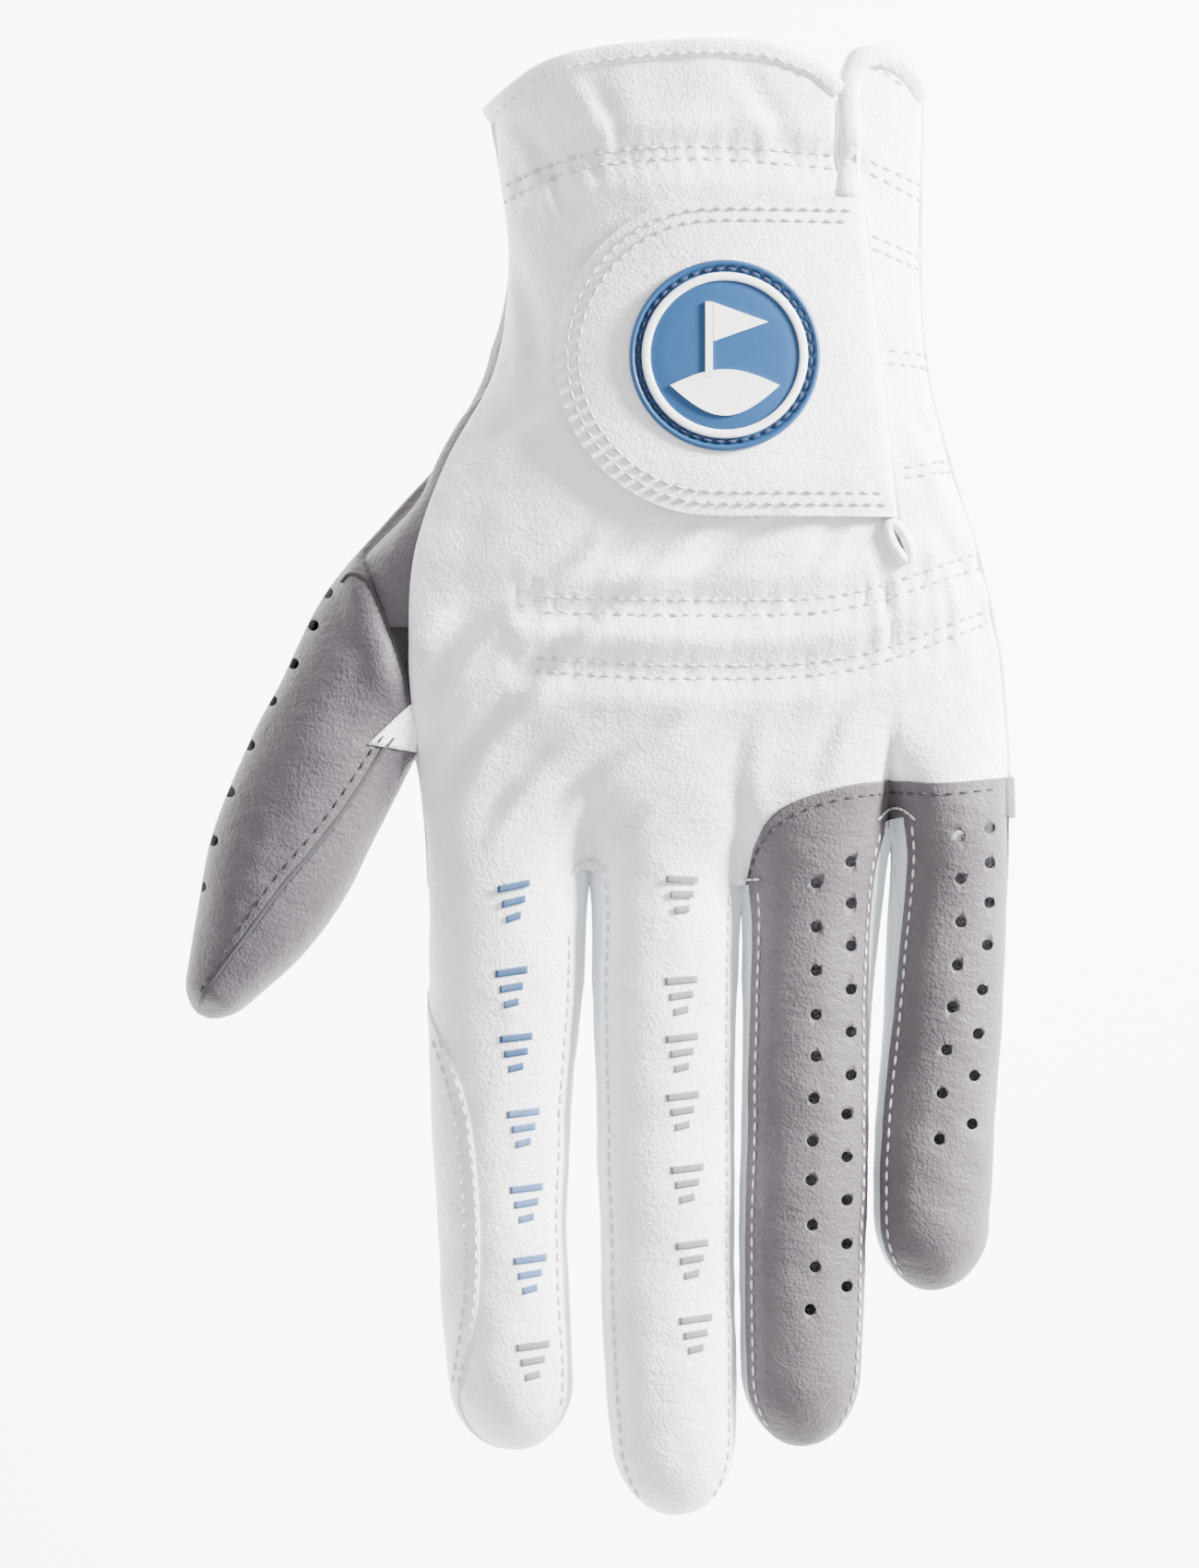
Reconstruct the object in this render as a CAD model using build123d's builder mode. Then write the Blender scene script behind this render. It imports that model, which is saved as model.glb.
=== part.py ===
"""A left-hand golf glove, lying palm down with its digits pointing along -Y.

Every leather panel, strip, band and patch is its own solid. The hand is the root body. The five
digits turn on knuckle hinges, and the closure tab peels open on a hinge along the wrist slit.
Units are millimetres. Z is up, out of the back of the hand, and Z = 0 is the table.
"""

import os
from functools import cache
from math import cos, hypot, radians, sin, tan

from build123d import *

# Driving dimensions
LEATHER = 0.9
FLAT = 56            # degrees the rounded sides run below mid-height before the flat bottom
BACK_SEAM = 10.4     # height of the seam between a finger's back and its side strips
PALM_SEAM = 3.4      # height of the seam between a finger's palm and its side strips
HAND_SEAM = 7.6      # height of the seam between the hand's back and palm
HINGE_HEIGHT = 7.2
FLEX_SIDE = 55       # degrees from the digit's line to the cut faces below the hinge
EXTEND_SIDE = 79     # degrees from the digit's line to the cut faces above the hinge
KNUCKLE_GAP = 0.25
SLIT_WIDTH = 0.8
HOLE_RADIUS = 0.8
THREAD = 0.3
TALL = 60
BELOW_TABLE = 0.2     # how far forms run on under the table before they are cut off flat

# Hand cross-sections from cuff to knuckles: place, thumb side, little-finger side, height
HAND_SECTIONS = [
    (108, -15.6, 45.6, 23.0),
    (96, -15.0, 45.5, 22.8),
    (84, -14.0, 45.4, 22.6),
    (72, -12.8, 45.3, 22.8),
    (60, -13.8, 46.0, 23.3),
    (48, -19.8, 48.8, 23.4),
    (36, -24.6, 52.4, 23.0),
    (24, -26.9, 55.4, 22.0),
    (12, -26.9, 57.0, 20.4),
    (0, -25.2, 57.7, 18.1),
    (-11, -23.7, 57.3, 16.2),
    (-22, -23.3, 57.0, 15.0),
]

# Finger knuckle, finger tip, width at the knuckle, width at the tip, height
FINGERS = {
    "index": ((-12.7, -12.8), (-12.2, -94.4), 21.0, 17.4, 14.4),
    "middle": ((9.2, -13.0), (10.7, -103.4), 19.6, 17.8, 14.6),
    "ring": ((30.0, -15.2), (28.4, -94.2), 18.4, 17.4, 14.4),
    "little": ((50.4, -6.2), (46.4, -71.6), 14.2, 15.8, 13.6),
}

# How far each finger's column reaches to the thumb side and to the little-finger side
COLUMNS = {
    "index": (30, 11.3),
    "middle": (10.6, 11.0),
    "ring": (10.3, 11.7),
    "little": (8.4, 30),
}

# Thumb sections along its own line: distance, outer edge, inner edge, bottom, top
THUMB_KNUCKLE = (-35.7, 9.9)
THUMB_TIP = (-56.6, -32.3)
THUMB_SECTIONS = [
    (-50.0, -0.5, 8.0, 2.0, 10.5),
    (-40.0, -3.0, 11.0, 1.0, 13.5),
    (-28.0, -6.6, 14.0, 0.4, 15.0),
    (-14.0, -10.2, 14.0, 0.0, 15.6),
    (0.0, -10.4, 10.9, 0.0, 15.4),
    (13.0, -10.2, 10.9, 0.0, 15.4),
    (24.0, -9.0, 10.9, 0.0, 15.0),
    (34.0, -6.4, 8.8, 0.2, 13.8),
    (43.0, -3.3, 4.8, 1.6, 12.0),
    (46.2, -1.3, 2.2, 3.6, 9.6),
]

# Closure: the slit's right edge, the tab's round end and the badge
CUFF_TOP = 103.4
CUFF_SIDE = 96.5
SLIT = [(33.6, 112), (33.6, 84), (36.9, 80.8), (41.6, 40), (42.2, 34.5)]
TAB_TOP_CORNER = (36.3, 81.5)
TAB_LOW_CORNER = (41.3, 38.0)
TAB_CENTRE = (16.0, 59.5)
TAB_RADIUS = 22.2
BADGE_CENTRE = (17.2, 59.5)
BADGE_RADIUS = 13.2
TAB_UNDERSIDE = 1.1
HOOK_THICKNESS = 0.8
TAB_LEATHER_TOP = TAB_UNDERSIDE + HOOK_THICKNESS + LEATHER


# Shared geometry

def section(plane, left, right, bottom, top):
    """A flat-bottomed oval drawn across the hand or a digit."""
    rise = (top - bottom) / (1 + sin(radians(FLAT)))
    centre = ((left + right) / 2, bottom + rise * sin(radians(FLAT)))
    with BuildSketch(plane) as oval:
        with BuildLine():
            arc = EllipticalCenterArc(
                centre, (right - left) / 2, rise, start_angle=-FLAT, arc_size=180 + 2 * FLAT
            )
            Line(arc @ 1, arc @ 0)
        make_face()
    return oval.sketch.face()


def through(sections):
    """One smooth solid through a row of sections, cut off flat at the table."""
    with BuildPart() as form:
        loft(sections=sections)
        Box(400, 400, 100, align=(Align.CENTER, Align.CENTER, Align.MIN), mode=Mode.INTERSECT)
    return form.part


@cache
def hand_form(grow=0.0):
    """The outside of the hand, enlarged or reduced all round by grow."""
    sections = []
    for place, left, right, height in HAND_SECTIONS:
        plane = Plane(origin=(0, place, 0), x_dir=(1, 0, 0), z_dir=(0, -1, 0))
        bottom = -grow if grow < 0 else -BELOW_TABLE
        sections.append(section(plane, left - grow, right + grow, bottom, height + grow))
    return through(sections)


class Digit:
    """The line, the sections and the hinge of one finger or the thumb."""

    def __init__(self, knuckle, tip, sections):
        dx, dy = tip[0] - knuckle[0], tip[1] - knuckle[1]
        length = hypot(dx, dy)
        self.knuckle = Vector(*knuckle, 0)
        self.along = Vector(dx / length, dy / length, 0)
        self.across = Vector(-self.along.Y, self.along.X, 0)
        self.sections = sections

    @cache
    def form(self, grow=0.0):
        """The outside of the digit, enlarged or reduced all round by grow."""
        sections = []
        for distance, left, right, bottom, top in self.sections:
            reach = distance + grow if distance > 60 or distance > 40 and grow < 0 else distance
            plane = Plane(
                origin=self.knuckle + self.along * reach, x_dir=self.across, z_dir=self.along
            )
            inner_bottom = bottom + max(-grow, 0)
            sections.append(section(plane, left - grow, right + grow, inner_bottom, top + grow))
        return through(sections)

    def beyond(self, start, left=30, right=30):
        """Everything past the slanted cut of the knuckle, between two side limits."""
        plane = Plane(
            origin=self.knuckle + self.across * right,
            x_dir=self.along,
            z_dir=-self.across,
        )
        turn = 1 if start > 0 else -1
        low = start + turn * (HINGE_HEIGHT + 5) / tan(radians(FLEX_SIDE))
        high = start + turn * (TALL - HINGE_HEIGHT) / tan(radians(EXTEND_SIDE))
        with BuildPart() as region:
            with BuildSketch(plane):
                with BuildLine():
                    Polyline(
                        (low, -5), (start, HINGE_HEIGHT), (high, TALL), (140, TALL), (140, -5),
                        close=True,
                    )
                make_face()
            extrude(amount=left + right)
        return region.part

    def half(self, side):
        """Everything on one side of the digit's line: -1 is the thumb side."""
        plane = Plane(origin=self.knuckle, x_dir=self.along, z_dir=-self.across * side)
        with BuildPart() as region:
            with BuildSketch(plane):
                Rectangle(300, 300)
            extrude(amount=-60)
        return region.part

    def end(self, distance):
        """Everything further along the digit than distance."""
        plane = Plane(origin=self.knuckle + self.along * distance, z_dir=self.along)
        with BuildPart() as region:
            with BuildSketch(plane):
                Rectangle(300, 300)
            extrude(amount=200)
        return region.part

    def shell(self):
        """The digit's leather, from its knuckle cut to its tip."""
        return joined([self.form(), self.beyond(KNUCKLE_GAP)], [self.form(-LEATHER)])


def finger(knuckle, tip, knuckle_width, tip_width, height):
    """A straight finger whose end rounds off as half an oval."""
    length = hypot(tip[0] - knuckle[0], tip[1] - knuckle[1])
    round_length = tip_width / 2
    sections = [(-16.0, -knuckle_width / 2, knuckle_width / 2, 0.0, height)]
    for share in (0.01, 0.22, 0.43, 0.62, 0.78, 0.91, 1):
        half = (knuckle_width + (tip_width - knuckle_width) * share) / 2
        sections.append(((length - round_length) * share, -half, half, 0.0, height))
    for angle in (28, 50, 68, 80):
        half = tip_width / 2 * cos(radians(angle))
        fall = 1 - cos(radians(angle)) ** 0.8
        distance = length - round_length * (1 - sin(radians(angle)))
        bottom, top = height * 0.45 * fall, height * (1 - 0.55 * fall)
        sections.append((distance, -half, half, bottom, top))
    return Digit(knuckle, tip, sections)


def joined(shapes, cuts=()):
    """The space shared by all the shapes, less every cut."""
    with BuildPart() as result:
        add(shapes[0])
        for shape in shapes[1:]:
            add(shape, mode=Mode.INTERSECT)
        for cut in cuts:
            add(cut, mode=Mode.SUBTRACT)
    return result.part


def upright(sketch, low=-5, high=TALL):
    """A flat outline pulled up into a solid between two heights."""
    with BuildPart() as region:
        add(extrude(sketch, amount=high - low, mode=Mode.PRIVATE).moved(Location((0, 0, low))))
    return region.part


def slab(low, high):
    """Everything between two heights."""
    with BuildPart() as region:
        with Locations((0, 0, low)):
            Box(400, 400, high - low, align=(Align.CENTER, Align.CENTER, Align.MIN))
    return region.part


def strip(points, width, curved=True):
    """An upright band of even width following a path in plan."""
    with BuildPart() as region:
        with BuildSketch(Plane.XY.offset(-5)):
            with BuildLine() as path:
                if curved:
                    Spline(*points)
                else:
                    Polyline(*points)
            trace(path.line, line_width=width)
        extrude(amount=TALL + 5)
    return region.part


def hand_layer(low, high, region, cuts=()):
    """A piece of even thickness lying on the upper curve of the hand."""
    return joined([hand_form(high), region, slab(HAND_SEAM, TALL)], [hand_form(low), *cuts])


def save(name, shape):
    """Names a finished piece and writes it out."""
    shape.label = name
    export_step(shape, f"parts/{name}.step")


# Regions of the hand seen in plan

def cuff_region(inset=0.0):
    """The hand up to the curved edge of the cuff, less an inset."""
    with BuildPart() as region:
        with BuildSketch(Plane.XY.offset(-5)):
            with BuildLine():
                low = (-40, CUFF_SIDE - 12 - inset)
                back_start = (-16.5, CUFF_SIDE - inset)
                slit_corner = (33.4, CUFF_SIDE + 1.4 - inset)
                flap_end = (46.4, CUFF_SIDE + 1.0 - inset)
                ThreePointArc(back_start, (9.5, CUFF_TOP + 0.2 - inset), slit_corner)
                ThreePointArc(slit_corner, (39.5, CUFF_TOP - 0.1 - inset), flap_end)
                Polyline(flap_end, (80, CUFF_SIDE - inset), (80, -140), (-70, -140), low, back_start)
            make_face()
        extrude(amount=TALL + 5)
    return region.part


def tab_outline(inset=0.0):
    """The closure tab in plan: straight at the slit, round at its free end."""
    x, y = TAB_CENTRE
    r = TAB_RADIUS - inset
    with BuildSketch() as outline:
        with BuildLine():
            top = (TAB_TOP_CORNER[0] - 0.25 - inset * 0.1, y + r)
            low = (TAB_LOW_CORNER[0] - 0.25 - inset * 0.1, y - r)
            Line((x, y + r), top)
            Line(top, low)
            Line(low, (x, y - r))
            ThreePointArc((x, y - r), (x - r, y), (x, y + r))
        make_face()
    return outline.sketch


def circle_at(centre, radius):
    """A round outline in plan."""
    with BuildSketch() as outline:
        with Locations(centre):
            Circle(radius)
    return outline.sketch


def ring_at(centre, outer, inner):
    """A ring outline in plan."""
    with BuildSketch() as outline:
        with Locations(centre):
            Circle(outer)
            Circle(inner, mode=Mode.SUBTRACT)
    return outline.sketch


digits = {name: finger(*values) for name, values in FINGERS.items()}
digits["thumb"] = Digit(THUMB_KNUCKLE, THUMB_TIP, THUMB_SECTIONS)
thumb = digits["thumb"]

os.makedirs("parts", exist_ok=True)


# The hand's leather panels

with BuildPart() as slit:
    with BuildSketch(Plane.XY.offset(HAND_SEAM)):
        with BuildLine() as slit_path:
            Polyline(*SLIT)
        trace(slit_path.line, line_width=SLIT_WIDTH)
    extrude(amount=TALL)

with BuildPart() as fingers_off:
    for name, (left, right) in COLUMNS.items():
        add(digits[name].beyond(-KNUCKLE_GAP, left, right))

with BuildPart() as yoke_region:
    with BuildSketch(Plane.XY.offset(HAND_SEAM + 0.2)):
        with BuildLine():
            Polyline((20.2, -40), (20.2, -13.3), (20.6, -10.5), (22.2, -7.0), (25.8, -3.3))
            Spline((25.8, -3.3), (33.2, -0.7), (39.5, 0.4), (42.8, -0.3), (48.2, 0.1), (70, 1.4))
            Polyline((70, 1.4), (70, -40), (20.2, -40))
        make_face()
    extrude(amount=TALL)

with BuildPart() as gusset_region:
    with BuildSketch(Plane.XY.offset(HAND_SEAM)):
        with BuildLine():
            Polyline((-26.0, 12.5), (-34.4, 7.2), (-30.0, 1.0), (-24.0, 4.0), close=True)
        make_face()
    extrude(amount=TALL)

hand_shell = joined(
    [hand_form(), cuff_region()], [hand_form(-LEATHER), fingers_off.part, thumb.form(-LEATHER)]
)
thumb_shell = joined(
    [thumb.form()], [thumb.form(-LEATHER), hand_form(), thumb.beyond(-KNUCKLE_GAP)]
)

back_panel = joined([hand_shell, slab(HAND_SEAM, TALL)], [slit.part, yoke_region.part])
save("back_panel", back_panel)

outer_panel = joined([hand_shell, yoke_region.part])
save("outer_panel", outer_panel)

palm_panel = joined([hand_shell], [slab(HAND_SEAM, TALL)])
save("palm_panel", palm_panel)

thumb_root = joined([thumb_shell], [gusset_region.part])
save("thumb_root", thumb_root)

thumb_gusset = joined([thumb_shell, gusset_region.part])
save("thumb_gusset", thumb_gusset)


# Cuff and slit finishings

cuff_binding = joined(
    [hand_form(0.45), cuff_region(-0.45)],
    [hand_form(-LEATHER - 0.45), cuff_region(2.4), hand_shell, slit.part],
)
save("cuff_binding", cuff_binding)

flap_edge = strip([(35.6, 95.3), (35.6, 85.2)], 2.4, curved=False)
flap_binding = hand_layer(0, 0.5, flap_edge)
save("flap_binding", flap_binding)

with BuildPart() as slit_loop:
    with BuildSketch(Plane(origin=(42.1, 33.6, 16.6), z_dir=(0.42, 0, 0.91))):
        Ellipse(1.5, 3.2)
    extrude(amount=4.2)
    add(hand_form(), mode=Mode.SUBTRACT)
    add(slit.part, mode=Mode.SUBTRACT)
save("slit_loop", slit_loop.part)

tab_anchor_region = strip([(37.7, 80.4), (41.9, 40.2)], 2.6, curved=False)
tab_anchor = hand_layer(-LEATHER - 0.8, -LEATHER, tab_anchor_region)
save("tab_anchor", tab_anchor)

loop_patch = hand_layer(0, 0.8, upright(circle_at((13.6, 59.5), 15.5)))
save("loop_patch", loop_patch)


# Elastic sewn inside the back, drawn as flat bands

def inner_band(points, width, cuts=()):
    """A band of elastic lying against the inside of the back leather."""
    region = joined([strip(points, width), slab(HAND_SEAM + 3, TALL)])
    return hand_layer(-LEATHER - 0.8, -LEATHER, region, cuts)


wrist_line = [(-20, 82.0), (-3, 86.4), (13.7, 88.0), (31.0, 87.2)]
save("wrist_elastic", inner_band(wrist_line, 4.2))

upper_line = [(-14, 26.4), (-7.7, 25.6), (17.7, 24.9), (34.6, 25.8), (50, 30.2)]
save("knuckle_elastic_upper", inner_band(upper_line, 5))

lower_line = [(-14, 17.4), (-9, 16.8), (12, 15.9), (34.6, 17.0), (51, 21.6)]
save("knuckle_elastic_lower", inner_band(lower_line, 5))

flap_bands = {
    "flap_elastic_top": ((41.1, 74.7), (45.0, 73.3)),
    "flap_elastic_middle": ((42.0, 59.8), (46.2, 59.4)),
    "flap_elastic_low": ((43.6, 43.7), (49.6, 44.7)),
}
for name, (left, right) in flap_bands.items():
    region = joined([strip([left, right], 4, curved=False), slab(HAND_SEAM, TALL)])
    save(name, hand_layer(-LEATHER - 0.8, -LEATHER, region))


# Thread on the hand

def hand_thread(paths, cuts=()):
    """Rows of thread standing just proud of the hand's leather."""
    with BuildPart() as rows:
        for points in paths:
            region = joined([strip(points, 0.5), slab(HAND_SEAM + 1, TALL)])
            add(hand_layer(0, THREAD, region, cuts))
    return rows.part


cuff_rows = [
    [(-13.3, 84.3), (-2.9, 87.7), (13.7, 88.9), (32.6, 87.9)],
    [(-13.5, 82.2), (-3.1, 85.9), (13.7, 87.2), (32.6, 86.0)],
]
save("cuff_stitching", hand_thread(cuff_rows, [slit.part]))

upper_row = [(-7.7, 26.1), (17.7, 25.7), (34.6, 26.6), (52.7, 32.2)]
lower_row = [(-9.1, 17.6), (12.0, 16.6), (34.6, 17.7), (53.4, 24.0)]
knuckle_rows = [[(x, y - drop) for x, y in row] for drop in (0, 2) for row in (upper_row, lower_row)]
save("knuckle_stitching", hand_thread(knuckle_rows))

yoke_row = [
    (21.8, -13.0), (23.4, -7.6), (26.8, -4.6), (33.4, -2.2), (41.0, -1.3), (48.2, -1.4),
    (55.6, -0.8),
]
save("yoke_stitching", hand_thread([yoke_row]))


# Closure tab

tab_leather = hand_layer(TAB_LEATHER_TOP - LEATHER, TAB_LEATHER_TOP, upright(tab_outline()))
save("tab_leather", tab_leather)

tab_hook = hand_layer(
    TAB_UNDERSIDE, TAB_UNDERSIDE + HOOK_THICKNESS, upright(circle_at((13.6, 59.5), 15.0))
)
save("tab_hook", tab_hook)

badge_base = hand_layer(
    TAB_LEATHER_TOP, TAB_LEATHER_TOP + 0.9, upright(circle_at(BADGE_CENTRE, BADGE_RADIUS))
)
save("badge_base", badge_base)

badge_stitching = hand_layer(
    TAB_LEATHER_TOP + 0.9, TAB_LEATHER_TOP + 1.2, upright(ring_at(BADGE_CENTRE, 12.3, 11.8))
)
save("badge_stitching", badge_stitching)

badge_ring = hand_layer(
    TAB_LEATHER_TOP + 0.9, TAB_LEATHER_TOP + 1.5, upright(ring_at(BADGE_CENTRE, 11.5, 10.4))
)
save("badge_ring", badge_ring)

x, y = BADGE_CENTRE
with BuildSketch() as flag_on_mound:
    with BuildLine():
        mound = ThreePointArc((x - 7.6, y - 4.6), (x, y - 2.2), (x + 7.6, y - 4.6))
        ThreePointArc(mound @ 1, (x, y - 8.8), mound @ 0)
    make_face()
    with Locations((x - 2.2, y + 1.4)):
        Rectangle(1.1, 10.4)
    with BuildLine():
        Polyline((x - 2.2, y + 6.6), (x + 5.6, y + 4.0), (x - 2.2, y + 1.4), close=True)
    make_face()
badge_emblem = hand_layer(
    TAB_LEATHER_TOP + 0.9, TAB_LEATHER_TOP + 1.5, upright(flag_on_mound.sketch)
)
save("badge_emblem", badge_emblem)

with BuildPart() as tab_rows:
    for inset in (1.6, 3.2):
        region = joined([upright(tab_outline(inset))], [upright(tab_outline(inset + 0.5))])
        add(hand_layer(TAB_LEATHER_TOP, TAB_LEATHER_TOP + THREAD, region))
save("tab_stitching", tab_rows.part)


# Digits

def perforations(points):
    """Round air holes down through the back of the glove."""
    with BuildPart() as holes:
        with BuildSketch(Plane.XY.offset(HINGE_HEIGHT)):
            with Locations(*points):
                Circle(HOLE_RADIUS)
        extrude(amount=TALL)
    return holes.part


def between(start, end, count):
    """Evenly spaced places from start to end."""
    dx = (end[0] - start[0]) / (count - 1)
    dy = (end[1] - start[1]) / (count - 1)
    return [(start[0] + dx * i, start[1] + dy * i) for i in range(count)]


def digit_thread(digit, heights):
    """A row of thread right round a digit at each height."""
    with BuildPart() as rows:
        for height in heights:
            band = joined([slab(height, height + 0.4), digit.beyond(KNUCKLE_GAP)])
            add(joined([digit.form(THREAD), band], [digit.form()]))
    return rows.part


ring_holes = between((30.4, -20.1), (29.7, -73.9), 10) + between((35.0, -22.8), (34.8, -70.8), 9)
little_holes = between((50.8, -13.3), (47.8, -50.0), 7) + between((54.4, -16.7), (52.2, -47.9), 6)
thumb_holes = [(-46.6, 5.6), (-48.6, 0.4), (-50.4, -5.0), (-52.0, -10.6), (-53.4, -16.4)]
holes = {
    "index": [],
    "middle": [],
    "ring": ring_holes,
    "little": little_holes,
    "thumb": thumb_holes,
}

upper = slab(BACK_SEAM, TALL)
middle_height = slab(PALM_SEAM, BACK_SEAM)
lower = slab(-5, PALM_SEAM)

for name in ("middle", "ring"):
    digit = digits[name]
    shell = digit.shell()
    back_cuts = [perforations(holes[name])] if holes[name] else []
    save(f"{name}_back", joined([shell, upper], back_cuts))
    save(f"{name}_palm", joined([shell, lower]))
    save(f"{name}_fourchette_radial", joined([shell, middle_height, digit.half(-1)]))
    save(f"{name}_fourchette_ulnar", joined([shell, middle_height, digit.half(1)]))
    save(f"{name}_stitching", digit_thread(digit, (BACK_SEAM + 0.9,)))

index = digits["index"]
index_shell = index.shell()
wrap_side = joined([index.half(-1), slab(PALM_SEAM, 12.4)], [index.end(73)])
save("index_wrap", joined([index_shell, wrap_side]))
save("index_back", joined([index_shell, upper], [wrap_side]))
save("index_palm", joined([index_shell, lower]))
save("index_fourchette", joined([index_shell, middle_height], [wrap_side]))
save("index_stitching", digit_thread(index, (12.8,)))

little = digits["little"]
little_shell = little.shell()
save("little_palm", joined([little_shell, lower]))
save("little_fourchette", joined([little_shell, middle_height, little.half(-1)]))
little_back_region = joined([slab(PALM_SEAM, TALL)], [joined([middle_height, little.half(-1)])])
save("little_back", joined([little_shell, little_back_region], [perforations(little_holes)]))
save("little_stitching", joined([digit_thread(little, (BACK_SEAM + 0.9,)), little.half(-1)]))

thumb_shell_end = thumb.shell()
save("thumb_palm", joined([thumb_shell_end, lower]))
save("thumb_outer", joined([thumb_shell_end, thumb.half(-1)], [lower, perforations(thumb_holes)]))
save("thumb_inner", joined([thumb_shell_end, thumb.half(1)], [lower]))
seam_plane = Plane(
    origin=thumb.knuckle + thumb.across * 0.8, x_dir=thumb.along, z_dir=-thumb.across
)
with BuildPart() as thumb_seam:
    with BuildSketch(seam_plane):
        with Locations((30, HINGE_HEIGHT + 10)):
            Rectangle(70, 20)
    extrude(amount=0.5)
    add(thumb.form(THREAD), mode=Mode.INTERSECT)
    add(thumb.form(), mode=Mode.SUBTRACT)
    add(thumb.beyond(KNUCKLE_GAP), mode=Mode.INTERSECT)
save("thumb_stitching", thumb_seam.part)
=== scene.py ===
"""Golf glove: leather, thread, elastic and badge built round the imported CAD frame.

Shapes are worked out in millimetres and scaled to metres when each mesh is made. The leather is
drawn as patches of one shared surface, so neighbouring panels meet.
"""

import math

import bmesh
import bpy
from mathutils import Matrix, Vector, noise


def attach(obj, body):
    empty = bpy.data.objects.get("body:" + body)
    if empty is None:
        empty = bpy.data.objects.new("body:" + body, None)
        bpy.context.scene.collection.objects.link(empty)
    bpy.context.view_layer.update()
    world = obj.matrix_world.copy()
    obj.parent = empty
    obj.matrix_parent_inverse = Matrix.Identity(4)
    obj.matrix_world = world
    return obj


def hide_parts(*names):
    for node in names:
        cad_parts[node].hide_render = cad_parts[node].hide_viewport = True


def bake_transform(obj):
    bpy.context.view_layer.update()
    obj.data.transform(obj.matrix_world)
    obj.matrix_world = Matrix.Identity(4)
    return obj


MM = 0.001
DOWN = (0, 0, -1)
LEATHER = 0.8
OVAL_SIDE = 0.83      # height of an oval's widest level, as a share of its upper half
OVAL_HEIGHT = 1.83    # an oval's whole height, in the same share
STITCH_PITCH = 2.0
STITCH_LENGTH = 1.45
STITCH_RADIUS = 0.21
HOLE_RADIUS = 0.8
CAMERA_LENS = 150
VIEW_HEIGHT = 0.221
FLOOR_DROP = 0.10

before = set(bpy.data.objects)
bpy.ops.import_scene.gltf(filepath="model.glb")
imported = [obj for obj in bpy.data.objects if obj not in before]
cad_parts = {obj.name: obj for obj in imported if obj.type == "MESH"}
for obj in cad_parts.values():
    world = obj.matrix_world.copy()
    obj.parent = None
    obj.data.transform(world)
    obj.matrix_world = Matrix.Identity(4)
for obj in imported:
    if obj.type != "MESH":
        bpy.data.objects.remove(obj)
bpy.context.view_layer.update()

# The hand: place, oval's thumb side, little-finger side, height, and the back panel's left edge
HAND = [
    (-26, -24.0, 57.0, 15.0, -24.0),
    (-14, -24.4, 57.9, 16.0, -24.4),
    (-4, -25.0, 58.0, 17.6, -25.0),
    (5, -26.6, 57.6, 19.2, -25.6),
    (11, -31.0, 57.2, 20.2, -26.4),
    (18, -34.0, 56.5, 21.2, -26.8),
    (32, -33.0, 53.5, 22.8, -26.0),
    (45, -26.5, 49.5, 23.6, -21.6),
    (58, -16.8, 46.2, 23.6, -14.8),
    (72, -12.9, 45.2, 23.0, -12.9),
    (88, -14.3, 45.4, 22.8, -14.3),
    (106, -15.8, 45.6, 23.4, -15.8),
]

# Each finger: place, left side, right side, height, down to where the tip starts to round
FINGERS = {
    "index": {
        "rows": [
            (0, -24.4, -1.2, 17.5), (-12, -24.4, -1.5, 15.2), (-20, -24.0, -2.2, 14.8),
            (-30, -23.7, -2.5, 14.6), (-46, -23.2, -3.8, 14.4), (-62, -22.4, -4.4, 14.4),
            (-74, -21.8, -4.1, 14.2),
            (-84, -20.9, -3.6, 13.8), (-95, -20.2, -3.6, 13.0),
        ],
        "tip": -94.4, "round": 10.5,
    },
    "middle": {
        "rows": [
            (0, -1.4, 19.8, 17.8), (-13, -1.3, 19.9, 15.4), (-20, -0.7, 19.5, 15.0),
            (-30, -0.9, 19.3, 14.8), (-50, -0.5, 19.3, 14.6), (-67, 0.0, 19.3, 14.6), (-85, 0.8, 19.5, 14.4),
            (-104, 2.4, 19.2, 13.4),
        ],
        "tip": -103.6, "round": 11.0,
    },
    "ring": {
        "rows": [
            (0, 20.0, 40.4, 17.6), (-14, 20.1, 41.0, 15.0), (-19, 20.6, 39.4, 14.8),
            (-30, 20.4, 38.4, 14.6), (-50, 19.9, 38.4, 14.4), (-64, 19.6, 38.0, 14.4),
            (-78, 19.8, 37.5, 14.2),
            (-94, 20.6, 36.6, 13.4),
        ],
        "tip": -93.9, "round": 11.0,
    },
    "little": {
        "rows": [
            (8, 41.0, 57.9, 17.0), (-14, 42.1, 57.6, 15.0), (-19, 42.6, 57.6, 14.2),
            (-30, 40.8, 57.0, 13.8), (-48, 38.9, 55.8, 13.6), (-60, 38.7, 55.2, 13.6),
            (-72, 39.6, 54.4, 12.8),
        ],
        "tip": -71.8, "round": 9.8,
    },
}

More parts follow.
